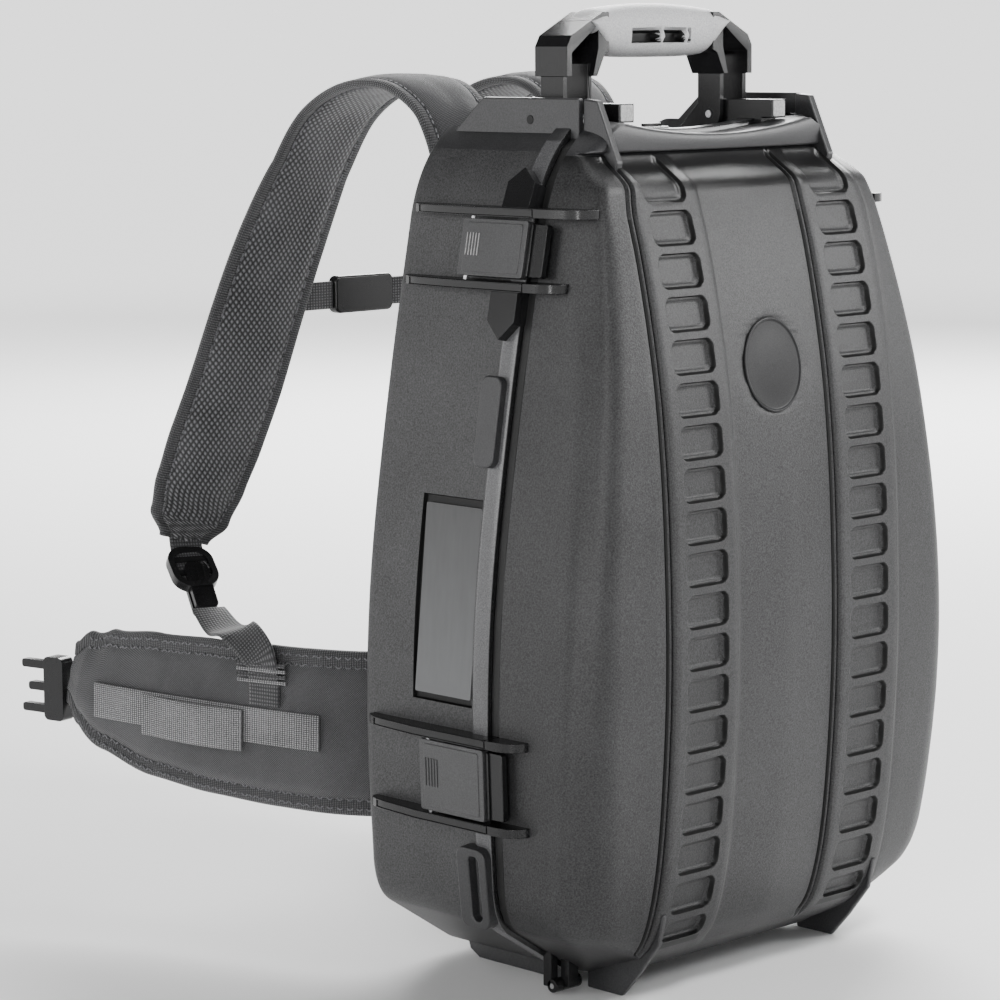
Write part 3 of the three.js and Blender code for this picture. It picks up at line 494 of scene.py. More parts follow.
def refined(node, material, width, segments=3):
    """A CAD node's own shape with its flat faces joined and its edges rounded."""
    mesh = frame["nodes"][node].data.copy()
    bm = bmesh.new()
    bm.from_mesh(mesh)
    bmesh.ops.remove_doubles(bm, verts=bm.verts, dist=1e-6)
    bmesh.ops.dissolve_limit(bm, angle_limit=math.radians(1), verts=bm.verts, edges=bm.edges)
    bm.to_mesh(mesh)
    bm.free()
    mesh.materials.clear()
    obj = finish_object(node + "_fine", mesh, [material], BODY_OF[node], 35)
    add_bevel(obj, width, segments)
    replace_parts(obj, node)
    return obj


def grid_faces(rows, columns, closed=False):
    faces = []
    for r in range(rows - 1):
        for c in range(columns if closed else columns - 1):
            d = (c + 1) % columns
            faces.append((r * columns + c, r * columns + d, (r + 1) * columns + d, (r + 1) * columns + c))
    return faces


# Case outline from the front

def catmull(points, t):
    """A smooth curve through the points, t from 0 to 1."""
    p = t * (len(points) - 1)
    i = min(int(p), len(points) - 2)
    w = p - i
    a = np.array(points[max(i - 1, 0)], float)
    b = np.array(points[i], float)
    c = np.array(points[i + 1], float)
    d = np.array(points[min(i + 2, len(points) - 1)], float)
    v0 = (c - a) / 2
    v1 = (d - b) / 2
    return (2 * b - 2 * c + v0 + v1) * w ** 3 + (-3 * b + 3 * c - 2 * v0 - v1) * w ** 2 + v0 * w + b


def bezier(points, t):
    points = [np.array(p, float) for p in points]
    while len(points) > 1:
        points = [p + (q - p) * t for p, q in zip(points, points[1:])]
    return points[0]


def side_outline():
    points = [bezier([(112, CASE_BOTTOM), (166, 47)], i / 8) for i in range(8)]
    points += [bezier([(166, 47), (176.5, 54), (178.5, 76)], i / 10) for i in range(10)]
    spline = [(178.5, 76), (182.5, 175), (177.5, 272), (160, 389), (138.5, 500)]
    points += [catmull(spline, i / 110) for i in range(110)]
    shoulder = [(138.5, 500), (133.5, 522), (122, 547), (94, SHOULDER_TOP)]
    points += [bezier(shoulder, i / 24) for i in range(25)]
    return np.array(points)


SIDE = side_outline()


def half_width(z):
    return float(np.interp(z, SIDE[:, 1], SIDE[:, 0]))


def deck_height(x):
    return DECK_LOW + DECK_RADIUS - math.sqrt(DECK_RADIUS ** 2 - x ** 2)


def case_outline(extra_levels=()):
    """The case from the front as rows of (x, z, normal's x, normal's z), with more points at some levels."""
    extra = [(half_width(z), z) for z in extra_levels]
    right = sorted([tuple(p) for p in SIDE] + extra, key=lambda p: p[1])
    deck = [(x, deck_height(x)) for x in np.linspace(90, -90, 37)]
    left = [(-x, z) for x, z in reversed(right)]
    bottom = [(x, CASE_BOTTOM) for x in np.linspace(-100, 100, 11)]
    points = np.array(right + deck + left + bottom)
    ahead = np.roll(points, -1, axis=0) - points
    behind = points - np.roll(points, 1, axis=0)
    along = ahead / np.linalg.norm(ahead, axis=1)[:, None] + behind / np.linalg.norm(behind, axis=1)[:, None]
    along /= np.linalg.norm(along, axis=1)[:, None]
    return np.column_stack([points, along[:, 1], -along[:, 0]])


# Lid

def front_table():
    points = [(CASE_BOTTOM, -24), (30, -53), (56, -68), (110, -78.3), (205, -84.5), (300, -83), (374, -77.5),
              (428, -69.4), (481, -57.8), (521, -45.5)]
    rows = [catmull(points, i / 240) for i in range(241)]
    rows += [np.array((539.5, -17.5)), np.array((600, -17.5))]
    return np.array(rows)


FRONT = front_table()


def front_y(z):
    spread = [-3, -1.5, 0, 1.5, 3]
    return float(np.mean([np.interp(z + s, FRONT[:, 0], FRONT[:, 1]) for s in spread]))


# How far the mesh lines of a pocket lie from its edge, and the lid's pressed lines as (x, depth)
EDGE_STEPS = [0, 0.35, 0.75, 1.15, 1.8, 2.35, 2.8, 3.3, 4.6, 6.3]
STRIP_PROFILE = [(0, 1.6), (20, 2.2), (43.6, 3.0), (44.3, 3.1), (44.9, 5.2), (45.7, 5.6), (46.3, 5.2),
                 (46.8, 2.6), (47.4, 2.0), (48.1, 2.0), (48.6, 2.6), (49.1, 5.0), (49.8, 5.0), (50.4, 0.4),
                 (51.0, 0), (109.0, 0), (109.6, 0.4), (110.2, 5.0), (110.9, 5.0), (111.4, 2.6), (111.9, 2.0),
                 (112.6, 2.0), (113.2, 2.6), (113.7, 5.2), (114.3, 5.6), (115.1, 5.2), (115.7, 3.1), (116.4, 3.0)]
PLAIN_INNER = [(43.6, 3.0), (45.7, 3.0), (46.8, 2.7), (48.1, 2.2), (49.1, 1.6), (49.8, 1.0), (50.4, 0.3),
               (51.0, 0)]
PLAIN_OUTER = [(109.0, 0), (109.6, 0.3), (110.2, 1.0), (110.9, 1.6), (111.9, 2.2), (113.2, 2.7), (114.3, 3.0),
               (116.4, 3.0)]
LEFT_PROFILE = [p for p in STRIP_PROFILE if p[0] < 43.6] + PLAIN_INNER + [p for p in STRIP_PROFILE if p[0] >= 109]
RIGHT_PROFILE = [p for p in STRIP_PROFILE if p[0] < 109] + PLAIN_OUTER


def strip_columns():
    fixed = [x for x, _ in STRIP_PROFILE if x > 40]
    fixed += [POCKET_OUTER - s for s in EDGE_STEPS] + [POCKET_INNER + s for s in EDGE_STEPS]
    fixed += [POCKET_OUTER + 0.6, POCKET_INNER - 0.6, 103.5, 56, 70.5, 75, 79.5, 84, 88.5]
    fixed += [0, 6, 12, 18, 24, 30, 36, 41]
    return sorted(set(round(x, 2) for x in fixed), reverse=True)


COLUMNS = strip_columns()


def pocket_spans():
    spans = [(RUNG_TOP_Z + 2.2, 539.0)]
    for i in range(1, RUNG_COUNT):
        centre = RUNG_TOP_Z - (i - 0.5) * RUNG_PITCH
        half = (RUNG_PITCH - RUNG_HEIGHT) / 2
        spans.append((centre - half, centre + half))
    last = RUNG_TOP_Z - (RUNG_COUNT - 0.5) * RUNG_PITCH
    spans.append((last - 4, last + 11))
    return spans


POCKETS = pocket_spans()


def pocket_depth(x, z):
    for low, high in POCKETS:
        if low <= z <= high:
            dx = min(x - POCKET_INNER, POCKET_OUTER - x)
            dz = min(z - low, high - z)
            if dx <= 0:
                return 0.0
            qx = POCKET_RADIUS - dx
            qz = POCKET_RADIUS - dz
            inside = POCKET_RADIUS - math.hypot(qx, qz) if qx > 0 and qz > 0 else min(dx, dz)
            return 3.5 * smooth(inside / 1.1) + 1.0 * smooth((inside - 2.3) / 1.0)
    return 0.0


def corner_arc(p, q, r, radius, steps):
    """Points round a corner at q, between p and r."""
    p, q, r = (np.array(v, float) for v in (p, q, r))
    before = min(radius, 0.45 * np.linalg.norm(p - q))
    after = min(radius, 0.45 * np.linalg.norm(r - q))
    start = q + (p - q) / np.linalg.norm(p - q) * before
    end = q + (r - q) / np.linalg.norm(r - q) * after
    return [tuple(bezier([start, q, end], i / steps)) for i in range(steps + 1)]


BADGE_Z = 404.0
BADGE_X = -3.5


def badge_dip(x, z):
    r = math.hypot((x - BADGE_X) / 27.6, (z - BADGE_Z) / 30.6)
    return 1.1 * smooth((1.055 - r) / 0.085)


def lid_half(z, side, front=None, height=None):
    """Half of one level of the lid, from the seam to its middle: points (x, y, z)."""
    w = half_width(z)
    front = front_y(z) if front is None else front
    facet = max(24 + (5 - 24) * (z - 75) / (500 - 75), 4)
    crease = w - facet
    edge_y = min(front + 20 + 0.027 * z, -6)
    crease_y = min(front + 6, -7)
    shown = smooth((z - 26) / 8) * (1 - smooth((z - 534) / 5))
    lean = 7.5 * smooth((z - 498) / 40)
    last = min(116.4 - lean, crease - 3)
    a = (w, -SEAM_GAP)
    b = (w - 1, edge_y)
    c = (crease, crease_y)
    d = (last, front + 3 * shown)
    points = [a, (w - 0.2, a[1] + 0.2 * (edge_y - a[1])), (w - 0.5, a[1] + 0.5 * (edge_y - a[1]))]
    points += corner_arc(a, b, c, 7, 6)
    points += corner_arc(b, c, d, 10, 6)
    start = points[-1]
    for share in (0.25, 0.5, 0.75):
        points.append(tuple(start[k] + (d[k] - start[k]) * share for k in (0, 1)))
    profile = RIGHT_PROFILE if side > 0 else LEFT_PROFILE
    profile_x = [x for x, _ in profile]
    profile_y = [y for _, y in profile]
    for i, x in enumerate(COLUMNS):
        moved = min(x - lean * smooth((x - 99) / 9), last - 0.02 * i)
        y = front + shown * (float(np.interp(x, profile_x, profile_y)) + pocket_depth(x, z))
        if abs(z - BADGE_Z) < 34 and x < 36:
            y += badge_dip(side * x, z)
        points.append((moved, y))
    return [(x, y, z if height is None else height(x)) for x, y in points]


def lid_rows():
    levels = list(np.arange(12, 36, 3.0))
    for low, high in POCKETS[1:]:
        levels += [low + s for s in EDGE_STEPS] + [high - s for s in EDGE_STEPS]
        levels += [low - 0.6, (low + high) / 2, high + 0.6]
    levels += [RUNG_TOP_Z - 0.1]
    low = POCKETS[0][0]
    levels += [low + s for s in EDGE_STEPS] + list(np.arange(low + 9, 536, 3.0)) + [537, 538.2, 539.4]
    levels += [BADGE_Z + s * r for s in (-1, 1) for r in (27.0, 28.6, 29.6, 30.4, 31.2, 32.2)]
    kept = []
    for z in sorted(levels):
        if not kept or z - kept[-1] > 0.28:
            kept.append(z)
    rows = [lid_level(z) for z in kept]
    lip = [(0.0, -15.5), (0.02, -20.3), (0.05, -21.2), (0.1, -21.6), (0.6, -21.9), (0.84, -21.8), (0.93, -21.3),
           (0.975, -20.4), (1.0, -18.8), (1.0, -10.0), (1.0, -SEAM_GAP)]
    for share, y in lip:
        z = LEDGE_BOTTOM - 1 + share * (SHOULDER_TOP - LEDGE_BOTTOM + 1)

        def height(x, share=share):
            top = deck_height(x) if x < 94 else SHOULDER_TOP
            return LEDGE_BOTTOM - 1 + share * (top - LEDGE_BOTTOM + 1)
        rows.append(lid_level(z, y, height))
    return rows


def lid_level(z, front=None, height=None):
    right = lid_half(z, 1, front, height)
    left = [(-x, y, h) for x, y, h in lid_half(z, -1, front, height)]
    return left + right[::-1][1:]


def ring_of(outline, inset, y, top):
    """The outline moved inwards and cut off at the top; y is a number or a function of x and z."""
    points = []
    for x, z, nx, nz in outline:
        level = y(x - nx * inset, z - nz * inset) if callable(y) else y
        points.append((x - nx * inset, level, min(z - nz * inset, top)))
    return points


def lid_lining():
    """The inside of the lid, from its rim to its floor."""
    outline = case_outline()

    def depth(share):
        return lambda x, z: -SEAM_GAP + share * (max(front_y(min(z, 533)), -84) + 9)
    rings = [ring_of(outline, 0.4, -SEAM_GAP, 560), ring_of(outline, 5, -SEAM_GAP, 534)]
    for inset, share in ((5.5, 0.3), (6.5, 0.6), (10, 0.8), (18, 0.93), (30, 1.0)):
        rings.append(ring_of(outline, inset, depth(share), 533))
    base = rings[-1]
    for share in (0.75, 0.5, 0.25, 0.0):
        rings.append([(x * share, y, z) for x, y, z in base])
    return rings


def make_lid():
    rows = lid_rows()
    columns = len(rows[0])
    faces = grid_faces(len(rows), columns)
    faces.append(tuple(range(columns)))
    rings = lid_lining()
    first = len(rows) * columns
    faces += [tuple(first + i for i in f) for f in grid_faces(len(rings), len(rings[0]), True)]
    mesh = new_mesh("lid", [[at(*p) for p in ring] for ring in rows + rings], faces)
    obj = finish_object("lid", mesh, [SHELL, SMOOTH_SHELL, RECESS_SHADE], "lid", 60)
    for polygon in mesh.polygons:
        x, y, z = drawn(polygon.center)
        x = abs(x)
        if y > -SEAM_GAP - 0.1 or z > LEDGE_BOTTOM - 2.5:
            polygon.material_index = 1
        elif 34 < z < 534 and y < -15 and 43 < x < 117:
            # Painted shade: steep pocket walls, and the deep pressed lines beside the strips, get the near-black
            # recess material.
            sunk = y - front_y(z)
            if POCKET_INNER < x < POCKET_OUTER:
                in_shade = sunk < 3.6 and abs(polygon.normal.y) < 0.8
            else:
                in_shade = sunk > 3.3 and z < 500
            if in_shade:
                polygon.material_index = 2
    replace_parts(obj, "lid_shell")


def guard_outline(w, nose_y):
    """A level fin on the wall: its part on the tub and its part on the lid, seen from above."""
    out = w + GUARD_OUT
    rear = [(w - 3, 0.5), (out, 0.5), (out, 66), (out - 3, 98), (out - 5, GUARD_REAR - 7),
            (out - 7, GUARD_REAR - 2), (out - 9, GUARD_REAR), (w - 3, GUARD_REAR)]
    nose = [(w - 3, -SEAM_GAP), (w - 4, nose_y), (w + 1, nose_y), (out - 6, nose_y + 3), (out - 2, nose_y + 8),
            (out, nose_y + 16), (out, -SEAM_GAP)]
    return rear, nose


def make_mouldings():
    matte = Moulding()
    matte.both([(0.6, 536), (118, 536), (118, 549), (87, 575), (0.6, 575)], side_place, 103, 108)
    matte.both(rounded(21, 0, 18, 58, 6), wall_place(373), -3, 8)
    matte.dish(rounded(21, 0, 26, 54, 7), rounded(18.5, 0, 9, 43, 4), wall_place(77), -4, 0.5, 8)
    matte.both([(14, 0), (98, 0), (107, 5), (111, 18), (14, 18)], side_place, 102.4, 106.4)
    matte.build("tub_mouldings", SMOOTH_SHELL, "case", 1.3)

    trim = Moulding()
    rail = [(0.6, 540), (77, 540), (77, 549), (55, RAIL_TOP), (-8.4, RAIL_TOP), (-8.4, 559), (0.6, 559)]
    trim.both(rail, side_place, 66.5, 80.5)
    for z, up in ((515, True), (441, False)):
        peak = 15 if up else -18
        foot = -peak * 0.8
        post = [(6, foot), (30, foot), (30, peak * 0.35), (18, peak), (6, peak * 0.35)]
        trim.both(post, wall_place(z), -4, 10)
    for z, nose_y in GUARDS:
        rear, _ = guard_outline(half_width(z), nose_y)
        trim.both(rear, plan_place, z - 3, z + 3)
    for z, _ in GUARDS:
        out = half_width(z) + GUARD_OUT
        path = [(out - 0.4, 1), (out - 0.4, 66), (out - 3.4, 98), (out - 5.2, GUARD_REAR - 8)]
        rim = path + [(x + 1.2, y) for x, y in reversed(path)]
        for low, high in ((-3.0, -2.0), (2.0, 3.0)):
            trim.both(rim, plan_place, z + low, z + high)
        low, high = GUARD_REAR - 9, GUARD_REAR - 3
        end = [(out - 5.4, low), (out - 4.0, low), (out - 6.4, high), (out - 8, high)]
        trim.both(end, plan_place, z - 3, z + 3)
    for x0 in (112.2, 129.2):
        for sign in (1, -1):
            lo, hi = sorted((sign * x0, sign * (x0 + 6.6)))
            trim.rod(4.5, side_place, lo, hi, 0, 6)
            trim.prism([(1, 5), (8, 5), (8, 30), (1, 30)], side_place, lo, hi)
    trim.build("tub_fittings", TRIM, "case", 1.2)

    # Painted shade: thin discs in the near-black recess material round the handle pivots, standing in for the
    # holes.
    holes = Moulding()
    for sign in (1, -1):
        holes.rod(3.0, side_place, *sorted((sign * 107.2, sign * 108.4)), PIVOT_Y, PIVOT_Z, 24)
    holes.build("pin_holes", RECESS_SHADE, "case", 0.3, 2)

    # Painted highlight: thin plates on the front faces of the rails, in the light grey that stands in for the
    # light they catch.
    faces = Moulding()
    faces.both(rounded(73.5, 565, 11.5, 10.5, 1.2, 3), front_place, -9.0, -8.0)
    faces.build("rail_face_highlights", PAINTED_HIGHLIGHT, "case", 0.3, 2)

    lid = Moulding()
    lid.both([(-0.5, 520), (-0.5, 574.5), (-12.5, 573.5), (-30, 535), (-26, 520)], side_place, 99, 105)
    foot = [(-3, 0), (-33.8, 0), (-49, 17), (-66, 39), (-70.5, 60), (-50, 60), (-3, 20)]
    lid.both(foot, side_place, 102.4, 106.4)
    lid.build("lid_mouldings", SMOOTH_SHELL, "lid", 1.3)

    lid_trim = Moulding()
    for z, nose_y in GUARDS:
        _, nose = guard_outline(half_width(z), nose_y)
        lid_trim.both(nose, plan_place, z - 3, z + 3)
    for sign in (1, -1):
        lo, hi = sorted((sign * 119.2, sign * 128.8))
        lid_trim.rod(4.5, side_place, lo, hi, 0, 6)
        lid_trim.prism([(-8, 5), (-1, 5), (-1, 30), (-8, 30)], side_place, lo, hi)
    for heights in LATCHES.values():
        z = latch_middle(heights)
        lid_trim.both(rounded(-3.85, 0, 5.3, 16, 0.6, 2), wall_place(z), -3, LEVER_INNER - 1)
    lid_trim.build("lid_fittings", TRIM, "lid", 1.6)


def badge_disc():
    slope = (front_y(BADGE_Z + 20) - front_y(BADGE_Z - 20)) / 40
    rows = []
    for share, out in ((1.0, 1.2), (1.0, 0.1), (0.985, -0.1), (0.955, -0.1), (0.94, 0.35), (0.91, 0.4),
                       (0.6, 0.15), (0.3, 0.05), (0.02, 0.0)):
        rows.append([at(BADGE_X + 27.2 * share * x, front_y(BADGE_Z) + slope * 30.2 * share * z + 2.0 + out,
                        BADGE_Z + 30.2 * share * z) for x, z in circle(1, 72)])
    mesh = new_mesh("badge", rows, grid_faces(len(rows), len(rows[0]), True))
    tidy_normals(mesh)
    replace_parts(finish_object("badge", mesh, [BADGE], "lid", 50), "badge_plate")


# Tub

def tub_sections():
    sections = [(5.0, SEAM_GAP), (2.9, SEAM_GAP), (2.6, 0.8), (2.6, 6.8), (2.3, 7.2), (-1.9, 7.2), (-2.4, 7.5),
                (-2.6, 8.1), (-2.6, 12), (-2.6, 19.4), (-2.4, 20.6), (-1.8, 21.6), (-0.6, 22.8), (-0.1, 23.4),
                (0, 23.8), (0, 24.3), (0, 24.9), (0, 25.6), (0, 40), (0, 57.4), (0, 58.2), (0, 68), (0, 77.6), (0, 78.2),
                (0, 78.8), (0, 90), (0, 105), (0, 118)]
    radius = 10
    for i in range(1, 8):
        angle = math.radians(90 * i / 7)
        sections.append((radius - radius * math.cos(angle), CASE_DEPTH - radius + radius * math.sin(angle)))
    return sections


def label_dip(x, y, z):
    if abs(x) < 150:
        return 0.0
    inside = min(y - LABEL_FRONT, LABEL_REAR - y, LABEL_HALF - abs(z - LABEL_Z))
    return 2.9 * smooth(inside / 0.7)


def make_tub():
    edges = [LABEL_HALF - s for s in (0, 0.35, 0.7, 1.2)]
    outline = case_outline([LABEL_Z - s for s in edges] + [LABEL_Z + s for s in edges])
    rings = []
    for inset, y in tub_sections():
        top = 549 if 24 < y < 58 else 544 if y >= 58 else 600
        ring = []
        for x, z, nx, nz in outline:
            dip = inset + (label_dip(x, y, z) if inset == 0 else 0)
            px = x - nx * dip
            pz = z - nz * dip
            ring.append((px, y, min(pz, top) if abs(px) < 101 and pz > 300 else pz))
        rings.append(ring)
    inner = [ring_of(outline, inset, y, 536) for inset, y in ((5, SEAM_GAP), (5.2, 60), (6, 119), (9, 124))]
    count = len(outline)
    faces = grid_faces(len(rings), count, True)
    first = len(rings) * count
    faces.append(tuple(range(first - count, first)))
    faces += [tuple(first + i for i in reversed(f)) for f in grid_faces(len(inner), count, True)]
    last = first + len(inner) * count
    faces.append(tuple(range(last - count, last)))
    mesh = new_mesh("tub", [[at(*p) for p in ring] for ring in rings + inner], faces)
    obj = finish_object("tub", mesh, [TUB_SHELL, SMOOTH_SHELL, TRIM, RECESS_SHADE, FLANGE_HIGHLIGHT], "case", 40)
    for polygon in mesh.polygons:
        x, y, z = drawn(polygon.center)
        # Painted shade: the walls of the label recess get the near-black recess material.
        beside = LABEL_FRONT < y < LABEL_REAR and abs(z - LABEL_Z) < LABEL_HALF + 0.5
        if beside and half_width(z) - abs(x) > 0.25:
            polygon.material_index = 3
        elif y < 7.6:
            polygon.material_index = 2
        # Painted highlight: the seam bead band in front of the wall gets the lighter material.
        elif y < 23.5 and z < 548:
            polygon.material_index = 4
        elif y < 24 or z > 542:
            polygon.material_index = 1
    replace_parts(obj, "tub_shell")


# Latches

def latch_middle(heights):
    middle = (heights[0] + heights[1]) / 2
    tilt = math.atan2(half_width(middle - 12) - half_width(middle + 12), 24)
    return middle - ((LEVER_INNER + LEVER_OUTER) / 2) * math.sin(tilt)


def make_latches():
    for level, heights in LATCHES.items():
        z = latch_middle(heights)
        height = heights[0] - heights[1] - 6 - 2.4 - (1.1 if level == "upper" else 0.2)
        for side, sign in SIDES:
            place = wall_place(z) if sign == 1 else mirror_of(wall_place(z))
            body = f"latch_{level}_{side}"
            lever = Moulding()
            lever.prism(rounded(32, 0, 58, height, 1.6, 3), place, LEVER_INNER, LEVER_OUTER)
            lever.prism(rounded(32, 0, 50, height - 5, 1.6, 3), place, LEVER_OUTER - 0.5, LEVER_OUTER + 0.5)
            obj = lever.build(f"lever_{level}_{side}", LEVER, body, 0.7, 3)
            hook = Moulding()
            hook.prism(rounded(-1, 0, 13, height - 3, 1, 2), place, LEVER_INNER - 0.4, LEVER_INNER + 2.2)
            hook.prism(rounded(-8.8, 0, 4.4, height - 3, 1, 2), place, LEVER_INNER - 2.5, LEVER_INNER + 2.2)
            hook.prism(rounded(1.2, 0, 2.2, height - 3, 0.8, 2), place, LEVER_INNER + 1.8, LEVER_INNER + 3.6)
            hook.build(f"hook_{level}_{side}", TRIM, body, 0.5, 3)
            ribs = Moulding()
            for i in range(5):
                rib = rounded(44.5 + 2.6 * i, height * 0.05, 0.9, height * 0.4, 0.4, 2)
                ribs.prism(rib, place, LEVER_OUTER + 0.3, LEVER_OUTER + 1.1)
            # Painted highlight: the upper levers' ribs get the light grey that stands in for the light they
            # catch; the lower ones keep the lever's colour.
            material = PAINTED_HIGHLIGHT if level == "upper" else LEVER
            ribs.build(f"lever_ribs_{level}_{side}", material, body, 0.2, 1)
            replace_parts(obj, f"latch_lever_{level}_{side}")


# Handle

def make_grip():
    """The rubber grip: rings along x, with a slot in its front that two pointed ribs cross."""
    count = 96
    ends = [33, 38, 42, 46, 49, 52, 56, 60, 64, 67]
    rows = []
    for x in [-x for x in reversed(ends)] + [0.75 * i for i in range(-40, 41)] + ends:
        far = abs(x)
        top = 634.6 - 3.8 * (far / 56) ** 2 - (max(far - 54, 0) * 0.5)
        low = 599.5 + 1.5 * (far / 46) ** 4
        if far >= 49:
            low = float(np.interp(far, [49, 53, 67], [602.5, 606, 623.5]))
        depth = float(np.interp(far, [0, 30, 48, 52, 67], [14.5, 14.5, 15.2, 16.4, 15.6]))
        ring = []
        for c, s in circle(1, count):
            y = PIVOT_Y + depth * math.copysign(abs(c) ** 0.72, c)
            z = (top + low) / 2 + (top - low) / 2 * math.copysign(abs(s) ** 0.8, s)
            if far < SLOT_HALF and c < 0:
                off = abs(z - SLOT_Z)
                rib = smooth(max(4.2 - abs(x - middle) - 0.55 * off for middle in (1.0, 24.5)) / 1.6)
                y += 7.5 * smooth((SLOT_HALF - far) / 1.5) * smooth((4.6 - off) / 1.6) * (1 - rib)
            ring.append(at(x, y, z))
        rows.append(ring)
    faces = grid_faces(len(rows), count, True)
    faces.append(tuple(range(count))[::-1])
    faces.append(tuple((len(rows) - 1) * count + i for i in range(count)))
    mesh = new_mesh("grip", rows, faces)
    tidy_normals(mesh)
    obj = finish_object("grip", mesh, [GRIP, RECESS_SHADE], "handle", 50)
    for polygon in mesh.polygons:
        x, y, z = drawn(polygon.center)
        # Painted shade: the faces inside the front slot get the near-black recess material.
        if abs(x) < SLOT_HALF and -12.4 < y - PIVOT_Y < -2 and abs(z - SLOT_Z) < 4.4:
            polygon.material_index = 1
    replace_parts(obj, "handle_grip")


def make_handle():
    refined("handle_arm_right", TRIM, 1.5)
    refined("handle_arm_left", TRIM, 1.5)
    make_grip()
    rivets = Moulding()
    for sign in (1, -1):
        for x in (61.4, 88.0):
            rivets.rod(2.6, side_place, *sorted((sign * x, sign * (x + 1.4))), PIVOT_Y, PIVOT_Z, 24)
    rivets.build("handle_rivets", STEEL, "handle", 0.4, 2)


def make_knob():
    knob = Moulding()
    knurl = [circle(14.3 if i % 2 else 13.6, 60, 0, KNOB_Y)[i] for i in range(60)]
    knob.prism(knurl, plan_place, 549.4, 553.2)
    knob.rod(11.5, plan_place, 553.0, 554.3, 0, KNOB_Y, 40)
    knob.prism(rounded(0, KNOB_Y, 18, 3, 1.2, 3), plan_place, 554.2, 556.4)
    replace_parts(knob.build("knob", TRIM, "case", 0.5, 2), "purge_knob")


# Soft pieces

def frames_along(stations, steps):
    """Points along a band: (centre, tangent, across, normal, half width, distance from the start)."""
    stations = [list(s) for s in stations]
    first = [2 * a - b for a, b in zip(stations[0][:3], stations[1][:3])]
    last = [2 * a - b for a, b in zip(stations[-1][:3], stations[-2][:3])]
    path = [first] + [s[:3] for s in stations] + [last]
    n = len(stations)
    out = []
    run = 0.0
    before = None
    for i in range(steps + 1):
        t = i / steps
        u = (1 + t * (n - 1)) / (n + 1)
        centre = Vector(catmull(path, u))
        tangent = (Vector(catmull(path, min(u + 1e-3, 1))) - Vector(catmull(path, u - 1e-3))).normalized()
        p = t * (n - 1)
        k = min(int(p), n - 2)
        share = p - k
        across = Vector(stations[k][4]).lerp(Vector(stations[k + 1][4]), share)
        across = (across - tangent * across.dot(tangent)).normalized()
        normal = tangent.cross(across)
        w = stations[k][3] + (stations[k + 1][3] - stations[k][3]) * smooth(share)
        if before is not None:
            run += (centre - before).length
        before = centre
        out.append((centre, tangent, across, normal, w, run))
    return out


def band_mesh(name, frames, section, materials, wrinkle=None):
    """Sweeps a section (across, out, material) along the frames, closes its ends and maps it in metres."""
    rings = []
    uvs = []
    for step, (centre, _, across, normal, w, run) in enumerate(frames):
        points = section(w, step / (len(frames) - 1))
        ring = []
        uv = []
        walk = 0.0
        before = points[0]
        for a, b, _ in points:
            walk += math.hypot(a - before[0], b - before[1])
            before = (a, b)
            place = centre + across * a + normal * b
            if wrinkle:
                place += normal * wrinkle(a, b, run, w)
            ring.append(at(*place))
            uv.append((walk * MM, run * MM))
        rings.append(ring)
        uvs.append(uv)
    marks = [mark for _, _, mark in points]
    count = len(points)
    faces = grid_faces(len(rings), count, True)
    faces += [tuple(range(count))[::-1], tuple((len(rings) - 1) * count + i for i in range(count))]
    mesh = new_mesh(name, rings, faces)
    layer = mesh.uv_layers.new(name="cloth")
    for polygon in mesh.polygons:
        wide = polygon.loop_total == 4
        for loop in polygon.loop_indices:
            r, c = divmod(mesh.loops[loop].vertex_index, count)
            u, v = uvs[r][c]
            if wide and c == 0 and polygon.index % count == count - 1:
                u = uvs[r][count - 1][0] + 0.001
            layer.data[loop].uv = (u, v)
        if wide:
            polygon.material_index = marks[polygon.index % count]
    obj = finish_object(name, mesh, materials, "case", 60)
    bm = bmesh.new()
    bm.from_mesh(mesh)
    bmesh.ops.recalc_face_normals(bm, faces=bm.faces)
    bm.to_mesh(mesh)
    bm.free()
    return obj


def webbing(name, rows, steps, thickness, node=None, material=None):
    """A flat band along rows of (x, y, z, half width, across), which may stand for a CAD node."""
    frames = frames_along(rows, steps)
    obj = band_mesh(name, frames, flat_section(thickness), [material or WEBBING])
    if node:
        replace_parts(obj, node)


def padded_section(inner, outer, edge, binding=9.0):
    """A padded strap: a crowned face on each side and a flat bound edge. inner is the side of +out."""
    def face(flat, height, end, mark):
        steps = 12
        for i in range(steps + 1):
            s = -1 + 2 * i / steps
            crown = (1 - abs(s) ** 3.2) * end
            yield (s * flat, edge + (height - edge) * crown, mark if i < steps else 2)

    def section(w, share):
        flat = w - binding
        end = min(1.0, 8 * share + 0.25, 8 * (1 - share) + 0.2)
        rim = [(flat + 0.6, edge * 0.62, 2), (flat + 2.0, edge * 0.9, 2), (w - 2.2, edge, 2),
               (w - 0.6, edge * 0.6, 2), (w, 0, 2)]
        rim += [(a, -b, mark) for a, b, mark in rim[-2::-1]]
        half = list(face(flat, inner, end, 0)) + rim
        other = list(face(flat, outer, end, 1)) + rim
        return half + [(-a, -b, mark) for a, b, mark in other]
    return section


STRAP_BACK = 152.4


